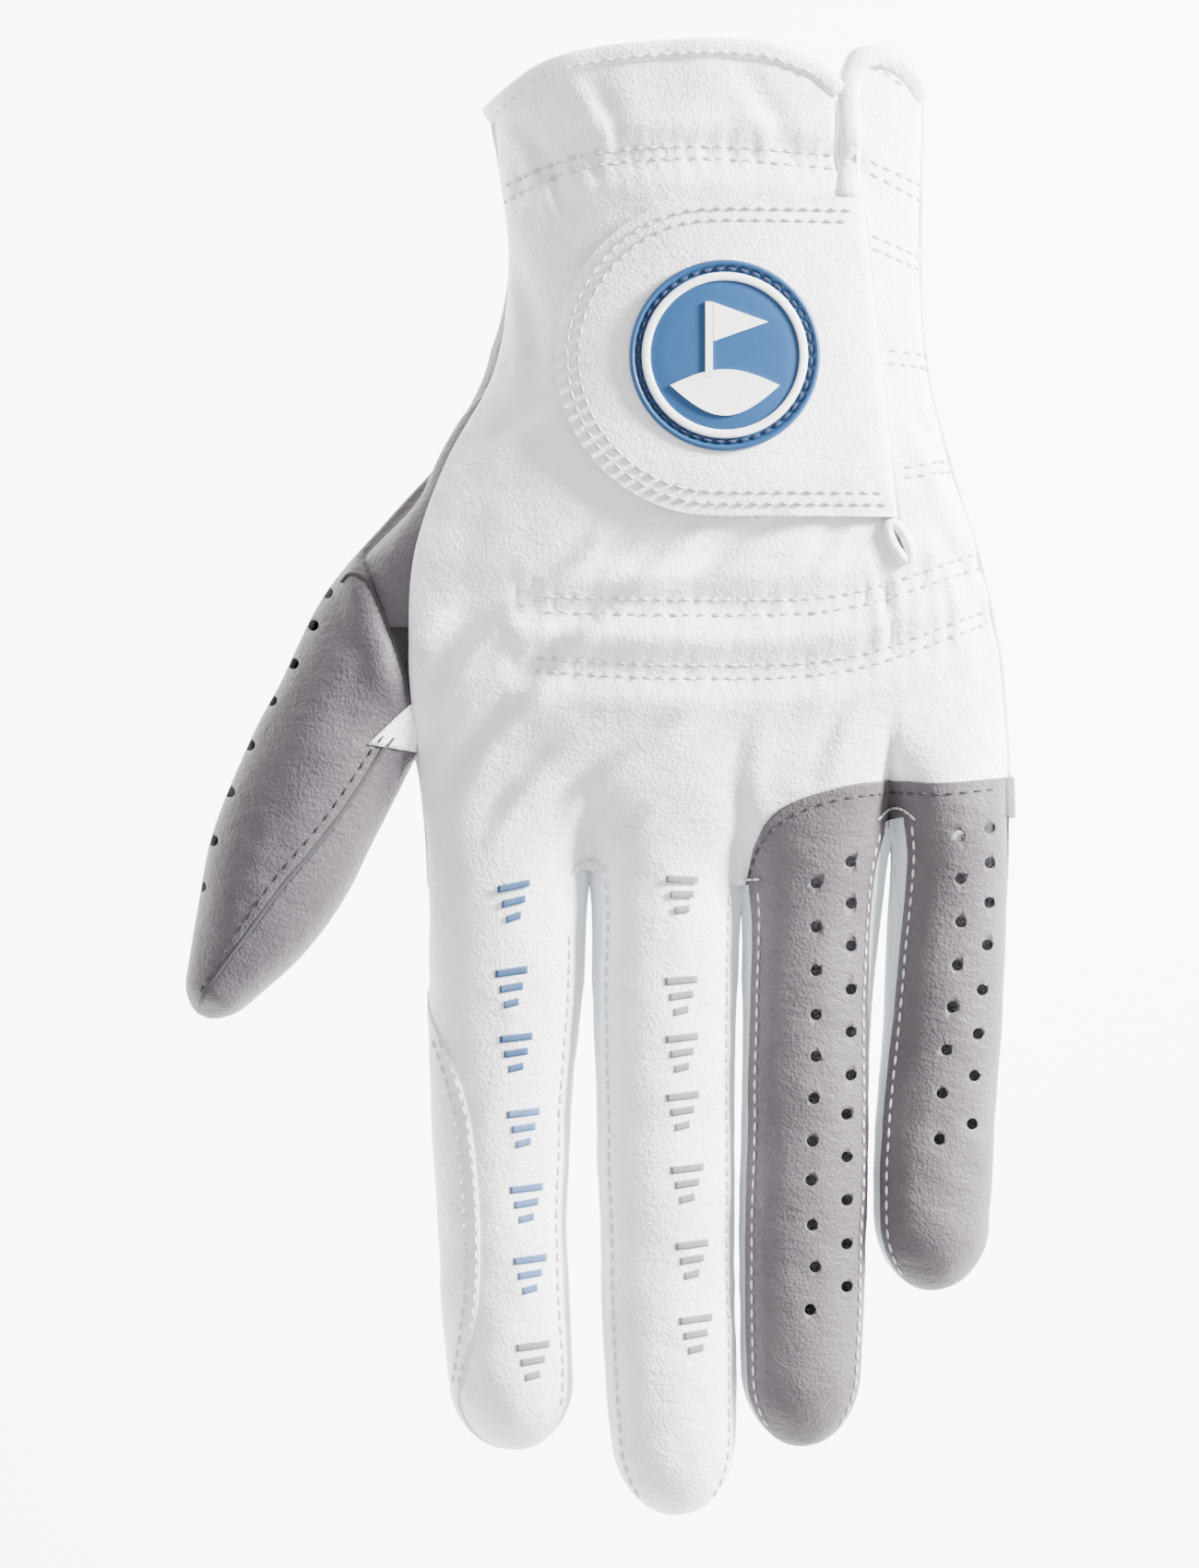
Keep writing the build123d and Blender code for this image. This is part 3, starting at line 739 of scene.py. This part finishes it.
def root_fold(point):
    """Drops the thumb root's leather behind the fold that runs along the back panel's edge."""
    line = spline([(b, a) for a, b in ROOT_FOLD], point.y)[0]
    share = ease(point.y, 9, 16) * ease(point.z, 8, 12)
    drop = 2.0 * ease(point.x, line - 1.6, line + 0.5)
    swell = 0.9 * bell(point.x - line + 3.2, 2.4)
    return Vector((point.x, point.y, point.z + share * (swell - drop)))


def build_hand():
    """The white back panel, the grey outer panel, the palm and the thumb's root."""
    step = 0.8
    upper_left, flap, lower = [], [], []
    for i in range(int(73 / step) + 1):
        y = 104 - 73 * i / int(73 / step)
        _, right, _, edge = spline(HAND, y)
        upper_left.append(hand_row(y, edge, slit_x(y) - 0.4, int(54 / step)))
        flap.append(hand_row(y, slit_x(y) + 0.25, right, int(22 / step)))
    for i in range(int(45 / step) + 1):
        y = 31 - 45 * i / int(45 / step)
        _, right, _, edge = spline(HAND, y)
        split = slit_x(max(y, 31))
        left_part = hand_row(y, edge, split - 0.4, int(54 / step))
        lower.append(left_part + hand_row(y, split + 0.25, right, int(22 / step)))
    skins = [grid(upper_left), grid(flap), grid(lower)]
    panel("back_leather", skins, WHITE, "hand", ["back_panel"])

    yoke = []
    for i in range(46):
        x = 20.3 + (57.3 - 20.3) * math.sin(math.pi / 2 * i / 45)
        top = spline(YOKE_EDGE, x)[0] - 3.2 * bell(x - 20, 1.6)
        low = last_row(x)
        yoke.append([back(x, top + (low - top) * k / 20, 0.55) for k in range(21)])
    down = []
    for i in range(13):
        y = 1.0 - 5.8 * i / 12
        left, right, top, _ = spline(HAND, y)
        rise = top / OVAL_HEIGHT
        row = []
        for k in range(15):
            dx, dz = round_to(1, 16 - 54 * k / 14)
            side_x = (left + right) / 2 + ((right - left) / 2 + 0.9) * dx
            row.append(Vector((side_x, y, rise * OVAL_SIDE + (rise + 0.9) * dz)))
        down.append(row)
    panel("grey_outer_side", [grid(down)], GREY, "hand", thickness=0.7, outward=(1, 0, 0))
    panel("grey_outer_panel", [grid(yoke)], GREY, "hand", ["outer_panel"], 0.7)

    palm = []
    for i in range(119):
        y = 97 - 111 * i / 118
        left, right, top = palm_sides(y)
        middle, half, rise = (left + right) / 2, (right - left) / 2, top / OVAL_HEIGHT
        row = []
        for k in range(61):
            angle = math.radians(180 + 180 * k / 60)
            x = middle + half * math.cos(angle)
            z = rise * OVAL_SIDE + rise * math.sin(angle)
            low = (last_row(x) + 14) * ease(16 - y, 0, 30)
            row.append(Vector((x, y + low, max(z + 0.25 * wander(x, y, 7, 9), 0.0))))
        palm.append(row)
    panel("palm_leather_shaded", [grid(palm)], SHADED_WHITE, "hand", ["palm_panel"], outward=DOWN)
    seam = []
    for i in range(97):
        y = 97 - i
        _, right, top = palm_sides(y)
        seam.append(Vector((right + 0.1, y, top / OVAL_HEIGHT * OVAL_SIDE + 0.1)))
    rope("outer_side_seam", seam, 0.9, 1.3, WHITE, "hand")

    root = [[root_fold(thumb_point(-d * 0.8, 212 - 212 * k / 54)) for k in range(55)] for d in range(63)]
    panel(
        "thumb_root_leather", [grid(root)], SHADED_GREY, "hand", ["thumb_root"],
        holes=ROOT_HOLES,
    )
    side = []
    for i in range(60):
        y = 59.5 - 37.5 * i / 59
        left, _, top = palm_sides(y)
        edge = spline(HAND, y)[3]
        high = back(edge + 0.8, y, -0.7)
        low = Vector((left - 0.1, y, top / OVAL_HEIGHT * OVAL_SIDE))
        width = max(ease(59.5 - y, 0, 9), 0.02)
        row = [high.lerp(low, k / 8 * width) for k in range(9)]
        swell = Vector((-0.9, 0, 0.9)) * width
        side.append([p + swell * math.sin(math.pi * k / 8) for k, p in enumerate(row)])
    panel(
        "thumb_side_leather", [grid(side)], SHADED_GREY, "hand",
        thickness=0.5, outward=(-1, 0, 1),
    )
    seam = [on_root(p.x, p.y, 0.15) for p in along(ROOT_SEAM, 0.6)]
    rope("thumb_root_seam", seam, 0.5, 0.4, DARK_THREAD, "hand")
    under = [[thumb_point(-d * 1.0, -150 + 175 * k / 24) for k in range(25)] for d in range(51)]
    panel("thumb_root_palm", [grid(under)], SHADED_WHITE, "hand", outward=DOWN)


def build_gusset():
    """The small white gusset in the thumb's crotch."""
    rows = []
    for i in range(9):
        t = i / 8
        start = Vector((-26.6, 11.4, 0)).lerp(Vector((-32.6, 5.6, 0)), t)
        end = Vector((-26.2, 9.0, 0)).lerp(Vector((-25.8, 4.6, 0)), t)
        row = []
        for k in range(9):
            p = start.lerp(end, k / 8)
            pleat = 0.12 * math.sin(2.4 * k + 3 * t)
            row.append(on_root(p.x, p.y, 0.4 + pleat))
        rows.append(row)
    panel("thumb_gusset_leather", [grid(rows)], WHITE, "hand", ["thumb_gusset"], 0.4)


def build_cuff():
    """Bound edges, the slit's rolled end and the rows of thread on the hand."""
    edge = [back(p.x, p.y - 1.2, 0.1) for p in along([(x, y) for x, y in CUFF_EDGE], 1.0)]
    rope("cuff_binding_back", edge, 2.9, 1.5, WHITE, "hand", ["cuff_binding"])
    palm_edge = []
    for k in range(50):
        angle = math.radians(186 + 168 * k / 49)
        x = 15.2 + 29.4 * math.cos(angle)
        palm_edge.append(Vector((x, 96.4, max(10.4 + 12.5 * math.sin(angle), 0.75))))
    rope("cuff_binding_palm", palm_edge, 2.6, 1.4, SHADED_WHITE, "hand")
    flap_path = [
        (34.7, 82.0), (35.0, 90.0), (34.8, 97.6), (36.4, 101.0), (39.2, 101.9), (42.6, 100.4),
        (45.2, 96.6),
    ]
    flap = [back(p.x, p.y, 0.55) for p in along(flap_path, 0.8)]
    rope("flap_binding_leather", flap, 3.0, 1.4, WHITE, "hand", ["flap_binding"])
    loop = []
    for k in range(28):
        angle = math.tau * k / 28
        along_loop, across_loop = 2.9 * math.cos(angle), 1.0 * math.sin(angle)
        x = 41.9 + 0.46 * along_loop * -1 + 0.89 * across_loop
        y = 34.0 + 0.89 * along_loop + 0.46 * across_loop
        loop.append(back(x, y, 0.75))
    rope("slit_loop_leather", loop, 1.5, 1.6, WHITE, "hand", ["slit_loop"], closed=True)

    def on_back(points, lift=0.12):
        return [back(p.x, p.y, lift) for p in along(points, 0.8)]

    rows = [on_back(row) for row in KNUCKLE_ROWS + CUFF_ROWS + FLAP_ROWS]
    stitches("knuckle_stitches", rows[:4], THREAD, "hand", ["knuckle_stitching"])
    stitches("cuff_stitches", rows[4:], THREAD, "hand", ["cuff_stitching"])
    # Painted shade round the stitches and in their needle holes: slightly wider grey capsules just under the
    # thread.
    holes = [on_back(row, -0.02) for row in KNUCKLE_ROWS + CUFF_ROWS + FLAP_ROWS]
    stitches("needle_hole_shade", holes, SHADE, "hand", radius=0.3)
    binding_rows = [on_back([(x, y - 1.9) for x, y in CUFF_EDGE[:-1]], 0.8)]
    flap_row = [(35.9, 84.5), (36.0, 97.4), (37.4, 100.3), (40.4, 100.4), (43.4, 98.2)]
    binding_rows.append(on_back(flap_row, 1.15))
    stitches("binding_stitches", binding_rows, THREAD, "hand")
    yoke_row = [
        (20.9, -13.4), (22.2, -9.2), (24.2, -6.6), (27.6, -4.2), (33.4, -2.2), (41, -1.3),
        (48.2, -1.4), (55.8, -0.7),
    ]
    stitches("yoke_stitches", [on_back(yoke_row, 0.62)], DARK_THREAD, "hand", ["yoke_stitching"])
    arches = []
    for x, y, spread in ((-1.4, -12.3, 2.2), (41.8, -4.9, 2.6)):
        arch = [(-spread, -0.2), (-1.3, 1.0), (0, 1.5), (1.3, 1.0), (spread, -0.2)]
        arches.append(on_back([(x + dx, y + dy) for dx, dy in arch], 0.7))
    arches.append(on_back([(20.2, -13.6), (22.6, -13.4)], 0.9))
    stitches("crotch_stitches", arches, THREAD, "hand", pitch=1.3)

    for name, points in (
        ("wrist_elastic", [(-12.0, 85.6), (13.7, 87.6), (32.4, 86.8)]),
        ("knuckle_elastic_upper", [(-9, 25.0), (17.7, 24.7), (34.6, 25.6), (52, 31)]),
        ("knuckle_elastic_lower", [(-10, 16.8), (12.0, 15.7), (34.6, 16.8), (53, 23)]),
        ("flap_elastic_top", [(38.2, 76.0), (44.6, 73.4)]),
        ("flap_elastic_middle", [(40.4, 60.0), (46.0, 59.4)]),
        ("flap_elastic_low", [(42.8, 43.6), (49.0, 44.8)]),
    ):
        band = [back(p.x, p.y, -1.5) for p in along(points, 1.5)]
        rope(name + "_band", band, 4.4, 0.7, ELASTIC, "hand", [name])
    anchor = [back(p.x, p.y, -1.5) for p in along([(38.0, 80.0), (39.8, 60.0), (42.0, 40.5)], 1.5)]
    rope("tab_anchor_strip", anchor, 2.4, 0.7, ELASTIC, "hand", ["tab_anchor"])


# The closure tab and its badge

def tab_edge(inset):
    """The tab's outline in plan from its top corner round to its low corner."""
    x, y = TAB_CENTRE
    r = TAB_RADIUS - inset
    points = [(36.2 - inset * 0.4, y + r), (26.0, y + r)]
    for degrees in range(90, 271, 10):
        dx, dy = round_to(r, degrees)
        points.append((x + dx, y + dy))
    return points + [(28.0, y - r), (41.2 - inset * 0.4, y - r)]


def build_tab():
    """The tab's leather, its tapes and its rows of thread."""
    x, y = TAB_CENTRE
    rows = []
    for i in range(67):
        drop = math.cos(math.pi * i / 66)
        place = y + TAB_RADIUS * drop
        left = x - TAB_RADIUS * math.sqrt(max(1 - drop * drop, 0))
        right = 36.4 + (place - 81.7) * (41.2 - 36.4) / (37.3 - 81.7)
        row = []
        for k in range(68):
            t = 1 - math.cos(math.pi / 2 * k / 67)
            px = left + (right - left) * t
            reach = math.dist((px, place), (x, y)) if px < x else abs(place - y)
            edge = min(TAB_RADIUS - reach, 6)
            curl = 0.35 * ease(edge, 0, 6) + 0.15 * wander(px, place, 2, 8)
            row.append(back(px, place, 2.1 + curl))
        for dx, lift in ((0.3, 1.7), (0.45, 0.9), (0.45, 0.0)):
            row.append(back(right + dx, place, lift))
        rows.append(row)
    panel("tab_leather_piece", [grid(rows)], WHITE, "tab", ["tab_leather"], 0.9)

    def disc(radius, lift):
        rings = []
        for r in range(13):
            offsets = [round_to(radius * max(r, 0.02) / 12, 7.5 * a) for a in range(49)]
            rings.append([back(13.6 + dx, y + dy, lift) for dx, dy in offsets])
        return rings

    panel("hook_tape", [grid(disc(15.0, 1.28))], ELASTIC, "tab", ["tab_hook"], 0.35)
    panel("loop_tape", [grid(disc(15.4, 0.55))], ELASTIC, "hand", ["loop_patch"], 0.5)
    threads = [[back(p.x, p.y, 2.55) for p in along(tab_edge(inset), 0.8)] for inset in (1.7, 3.3)]
    stitches("tab_stitches", threads, THREAD, "tab", ["tab_stitching"])
    # Painted shade round the tab's stitches and in their needle holes: slightly wider grey capsules just
    # under the thread.
    holes = [[back(p.x, p.y, 2.42) for p in along(tab_edge(inset), 0.8)] for inset in (1.7, 3.3)]
    stitches("tab_needle_hole_shade", holes, SHADE, "tab", radius=0.3)


def badge_point(px, py, lift):
    """A point on the badge, which is stiffer and smoother than the leather under it."""
    cx, cy = BADGE_CENTRE
    level = hand_height(cx, cy) * 0.45 + hand_height(px, py) * 0.55
    return Vector((px, py, level + 2.55 + lift))


def turned(name, profile, look, nodes):
    """A round moulding on the badge from a profile of radius and height."""
    cx, cy = BADGE_CENTRE
    rows = []
    for radius, lift in profile:
        offsets = [round_to(radius, 3 * a) for a in range(121)]
        rows.append([badge_point(cx + dx, cy + dy, lift) for dx, dy in offsets])
    panel(name, [grid(rows)], look, "tab", nodes, 0.3)


def extruded(name, outline, lift, height, look, body, nodes=(), surface=badge_point):
    """A flat shape standing proud of a surface, with a filled top and upright sides."""
    mesh = bpy.data.meshes.new(name)
    shape = bmesh.new()
    for points in outline:
        top = [shape.verts.new(surface(px, py, lift + height)) for px, py in points]
        low = [shape.verts.new(surface(px, py, lift - 0.1)) for px, py in points]
        face = shape.faces.new(top)
        if face.normal.z < 0:
            face.normal_flip()
        for k in range(len(top)):
            n = (k + 1) % len(top)
            shape.faces.new((top[k], top[n], low[n], low[k]))
    bmesh.ops.recalc_face_normals(shape, faces=shape.faces)
    bmesh.ops.transform(shape, matrix=Matrix.Scale(MM, 4), verts=shape.verts)
    shape.to_mesh(mesh)
    shape.free()
    obj = finish_piece(name, mesh, look, body, nodes)
    for face in mesh.polygons:
        face.use_smooth = False
    return obj


def build_badge():
    """A round blue badge with a stitched channel, a white ring and a flag on a mound."""
    base = [
        (0.0, 0.56), (0.5, 0.56), (1.5, 0.56), (4, 0.57), (8, 0.56), (10.2, 0.52), (10.5, 0.42),
        (11.3, 0.42), (11.6, 0.3), (12.0, 0.18), (12.4, 0.3), (12.6, 0.62), (12.9, 0.78),
        (13.15, 0.62), (13.3, 0.2), (13.3, -0.2),
    ]
    turned("badge_moulding", base, BLUE, ["badge_base"])
    ring = [(10.35, 0.4), (10.4, 0.82), (10.6, 0.95), (11.3, 0.95), (11.5, 0.82), (11.55, 0.4)]
    turned("badge_white_ring", ring, BADGE_WHITE, ["badge_ring"])
    cx, cy = BADGE_CENTRE
    channel = [round_to(12.05, 4 * a) for a in range(91)]
    circle = [badge_point(cx + dx, cy + dy, 0.42) for dx, dy in channel]
    stitches(
        "badge_stitches", [circle], NAVY_THREAD, "tab", ["badge_stitching"],
        pitch=1.7, radius=0.3,
    )
    steps = [(15.2 * k / 24, math.sin(math.pi * k / 24)) for k in range(25)]
    mound = [(cx - 7.6 + across, cy - 4.2 + 2.2 * rise) for across, rise in steps]
    mound += [(cx + 7.6 - across, cy - 4.2 - 4.2 * rise) for across, rise in steps[1:-1]]
    pole = [(cx - 2.7, cy - 3), (cx - 1.7, cy - 3), (cx - 1.7, cy + 7.4), (cx - 2.7, cy + 7.4)]
    flag = [(cx - 1.6, cy + 7.3), (cx + 6.0, cy + 4.6), (cx - 1.6, cy + 1.9)]
    emblem = [mound, pole, flag]
    extruded("badge_flag_emblem", emblem, 0.55, 0.45, BADGE_WHITE, "tab", ["badge_emblem"])


# The fingers

def back_lift(name, y):
    """How high a finger's back stands, which starts level with the hand's leather."""
    level = 0.55 if name in ("ring", "little") else 0.0
    return 0.35 + (level - 0.35) * ease(y, -24, -14)


def strip_lift(swell, y, angle):
    """How far a side strip stands out; it swells towards the next finger near the crotch."""
    sideways = abs(math.cos(math.radians(angle)))
    return -0.15 + swell * ease(y, -40, -18) * ease(sideways, 0.84, 1.0)


def finger_rows(name, angles, lift, from_y=-14.0, taper=None):
    """Rows of points along a finger; lift is a height, or a function of place and angle."""
    tip = FINGERS[name]["tip"]
    count = 90
    across = 34
    rows = []
    for i in range(count + 1):
        t = i / count
        y = from_y + (tip - from_y) * (1 - (1 - t) ** 1.6)
        low, high = angles if taper is None else taper(y)
        row = []
        for k in range(across + 1):
            angle = low + (high - low) * k / across
            row.append(finger_point(name, y, angle, lift(y, angle) if callable(lift) else lift))
        rows.append(row)
    return rows


def finger_track(name, angle, lift, to_y=None, from_y=-15.0):
    """A line along a finger at one angle."""
    end = FINGERS[name]["tip"] + 0.4 if to_y is None else to_y
    return [finger_point(name, from_y + (end - from_y) * i / 90, angle, lift) for i in range(91)]


def wrap_edge(y):
    """The angle of the wrapped seam on the index finger."""
    return spline(WRAP_SEAM, y)[0]


# How far the side strips swell at the crotch: thumb side, other side
WEB_SWELL = {"index": (0, 0.7), "middle": (0.7, 0.7), "ring": (0.7, 1.6), "little": (1.6, 0)}


def build_fingers():
    """Backs, palms, side strips, seams and thread of the four fingers."""
    holes = {"ring": RING_HOLES, "little": LITTLE_HOLES}
    backs = {
        "index": ("white_leather", WHITE, (30, 150)),
        "middle": ("white_leather", WHITE, (26, 152)),
        "ring": ("grey_leather", GREY, (22, 150)),
        "little": ("grey_leather", GREY, (-28, 148)),
    }
    for name, (slot, look, (low, high)) in backs.items():
        taper = (lambda y: (low, min(wrap_edge(y) + 6, 186))) if name == "index" else None
        skin = grid(finger_rows(name, (low, high), lambda y, angle: back_lift(name, y), taper=taper))
        air = holes.get(name, ())
        panel(f"{name}_back_leather", [skin], look, name, [f"{name}_back"], holes=air)
        palm = grid(finger_rows(name, (-28, -152), 0.0))
        node = f"{name}_palm"
        panel(f"{node}_leather", [palm], SHADED_WHITE, name, [node], outward=DOWN)
        if name != "little":
            swell = WEB_SWELL[name][1]
            lift = lambda y, angle: strip_lift(swell, y, angle)
            strip = grid(finger_rows(name, (-32, low + 6), lift))
            node = "index_fourchette" if name == "index" else f"{name}_fourchette_ulnar"
            panel(f"{name}_outer_strip", [strip], SIDES, name, [node], 0.6, (1, 0, 0))
        if name != "index":
            swell = WEB_SWELL[name][0]
            lift = lambda y, angle: strip_lift(swell, y, angle)
            strip = grid(finger_rows(name, (high - 8, 212), lift))
            node = "little_fourchette" if name == "little" else f"{name}_fourchette_radial"
            panel(f"{name}_inner_strip", [strip], SIDES, name, [node], 0.6, (-1, 0, 0))
    wrap = grid(finger_rows("index", (113, 212), 0.62, -29, lambda y: (wrap_edge(y), 212)))
    panel(
        "index_wrap_leather", [wrap], SHADED_WHITE, "index", ["index_wrap"],
        0.7, (-1, 0, 0),
    )

    seam_rows = {
        "index": [finger_track("index", 38, 0.5, -88, -22)],
        "middle": [finger_track("middle", 142, 0.5, -101), finger_track("middle", 34, 0.5, -101)],
        "ring": [finger_track("ring", 139, 0.5, -91), finger_track("ring", 33, 0.5, -91)],
        "little": [finger_track("little", 137, 0.5, -69.6)],
    }
    for offset in (3, 14):
        places = [-36 - 49 * i / 70 for i in range(71)]
        row = [finger_point("index", y, wrap_edge(y) + offset, 0.78) for y in places]
        seam_rows["index"].append(row)
    for name, tracks in seam_rows.items():
        stitches(f"{name}_stitches", tracks, THREAD, name, [f"{name}_stitching"])


def build_thumb():
    """The thumb's outer and inner leather, its palm side, dark seam and air holes."""
    def seam(distance):
        return spline([(0, 52), (14, 62), (25, 78), (36, 92), (47, 110)], distance)[0]

    def rows(low, high, lift=0.0):
        result = []
        for i in range(73):
            distance = (THUMB_LENGTH - 0.05) * (1 - (1 - i / 72) ** 1.5)
            start, end = low(distance), high(distance)
            level = lift * ease(distance, 0, 7)
            angles = [start + (end - start) * k / 30 for k in range(31)]
            result.append([thumb_point(distance, angle, level) for angle in angles])
        return result

    outer = grid(rows(lambda d: seam(d) + 1, lambda d: 212, 0.3))
    panel(
        "thumb_outer_leather", [outer], SHADED_GREY, "thumb", ["thumb_outer"],
        outward=(-1, 0, 1), holes=THUMB_HOLES,
    )
    inner = grid(rows(lambda d: -32, lambda d: seam(d) - 1, 0.3))
    panel(
        "thumb_inner_leather", [inner], SHADED_GREY, "thumb", ["thumb_inner"],
        outward=(1, 0, 1),
    )
    palm = grid(rows(lambda d: -150, lambda d: -28))
    panel(
        "thumb_palm_leather", [palm], SHADED_WHITE, "thumb", ["thumb_palm"],
        outward=DOWN,
    )
    line = [thumb_point(d * 0.8, seam(d * 0.8), 0.1) for d in range(0, 58)]
    rope("thumb_seam_cord", line, 0.8, 0.7, DARK_THREAD, "thumb")
    ticks = [[thumb_point(d * 0.8, seam(d * 0.8) + 8, 0.42) for d in range(0, 57)]]
    stitches("thumb_stitches", ticks, DARK_THREAD, "thumb", ["thumb_stitching"], 2.2, 0.16)


# Generic printed marks

def build_marks():
    """Small plain slanted bars printed down the index and middle fingers."""

    def print_on(name, node, places, look):
        skins = []
        for x, y in places:
            for k, width in enumerate((4.4, 3.2, 2.0)):
                rows = []
                for i in range(4):
                    low = y + 1.6 - 2.1 * k + 1.0 * i / 3
                    row = []
                    for j in range(9):
                        px = x - width / 2 + width * j / 8
                        py = low + 0.5 * j / 8
                        centre, half, _, _ = finger_oval(name, py)
                        angle = math.degrees(math.acos((px - centre) / half))
                        row.append(finger_point(name, py, angle, 0.50))
                    rows.append(row)
                skins.append(grid(rows))
        panel(node, skins, look, name, thickness=0.12)

    index_places = [(-12.1, -17.6), (-12.4, -29.0), (-11.8, -38)]
    pale_places = [(-10.8, -48.6), (-10.4, -59.2), (-9.9, -69.2)]
    middle_places = [
        (11.5, -16.0), (11.4, -30.0), (11.5, -38), (11.6, -46.2), (12.2, -56.4), (12.9, -67.1),
        (13.4, -77.6),
    ]
    print_on("index", "index_marks", index_places, PRINT_BLUE)
    print_on("index", "index_pale_marks", pale_places, PRINT_PALE)
    print_on("index", "index_tip_mark", [(-9.5, -81.4)], PRINT_GREY)
    print_on("middle", "middle_marks", middle_places, PRINT_GREY)


def build_stage():
    """A pale floor well below the glove, soft light from all round and the camera above."""
    bpy.ops.mesh.primitive_plane_add(size=8, location=(0, 0, -FLOOR_DROP))
    floor = bpy.context.object
    floor.name = "floor"
    paint = bpy.data.materials.new("floor_paint")
    paint.use_nodes = True
    shader = paint.node_tree.nodes["Principled BSDF"]
    shader.inputs["Base Color"].default_value = (0.9, 0.9, 0.9, 1)
    shader.inputs["Roughness"].default_value = 1.0
    shader.inputs["Emission Color"].default_value = (1, 1, 1, 1)
    shader.inputs["Emission Strength"].default_value = 4.5
    floor.data.materials.append(paint)
    world = bpy.data.worlds.new("studio")
    world.use_nodes = True
    sky = world.node_tree.nodes["Background"]
    sky.inputs["Color"].default_value = (1, 1, 1, 1)
    sky.inputs["Strength"].default_value = 1.3
    bpy.context.scene.world = world
    for name, place, size, power in (
        ("key", (0.80, 0.40, 0.33), 0.22, 74.0),
        ("fill", (0.3, -0.6, 0.8), 0.8, 3.0),
    ):
        light = bpy.data.lights.new(name, "AREA")
        light.size = size
        light.energy = power
        lamp = bpy.data.objects.new(name, light)
        lamp.location = place
        lamp.rotation_euler = (-Vector(place)).to_track_quat("-Z", "Y").to_euler()
        bpy.context.scene.collection.objects.link(lamp)
    camera = bpy.data.objects.new("camera", bpy.data.cameras.new("camera"))
    camera.data.lens = CAMERA_LENS
    camera.data.clip_start = 0.01
    camera.location = (0, 0, 0.012 + CAMERA_LENS * VIEW_HEIGHT / 36)
    bpy.context.scene.collection.objects.link(camera)
    bpy.context.scene.camera = camera


build_hand()
build_gusset()
build_cuff()
build_tab()
build_badge()
build_fingers()
build_thumb()
build_marks()
build_stage()
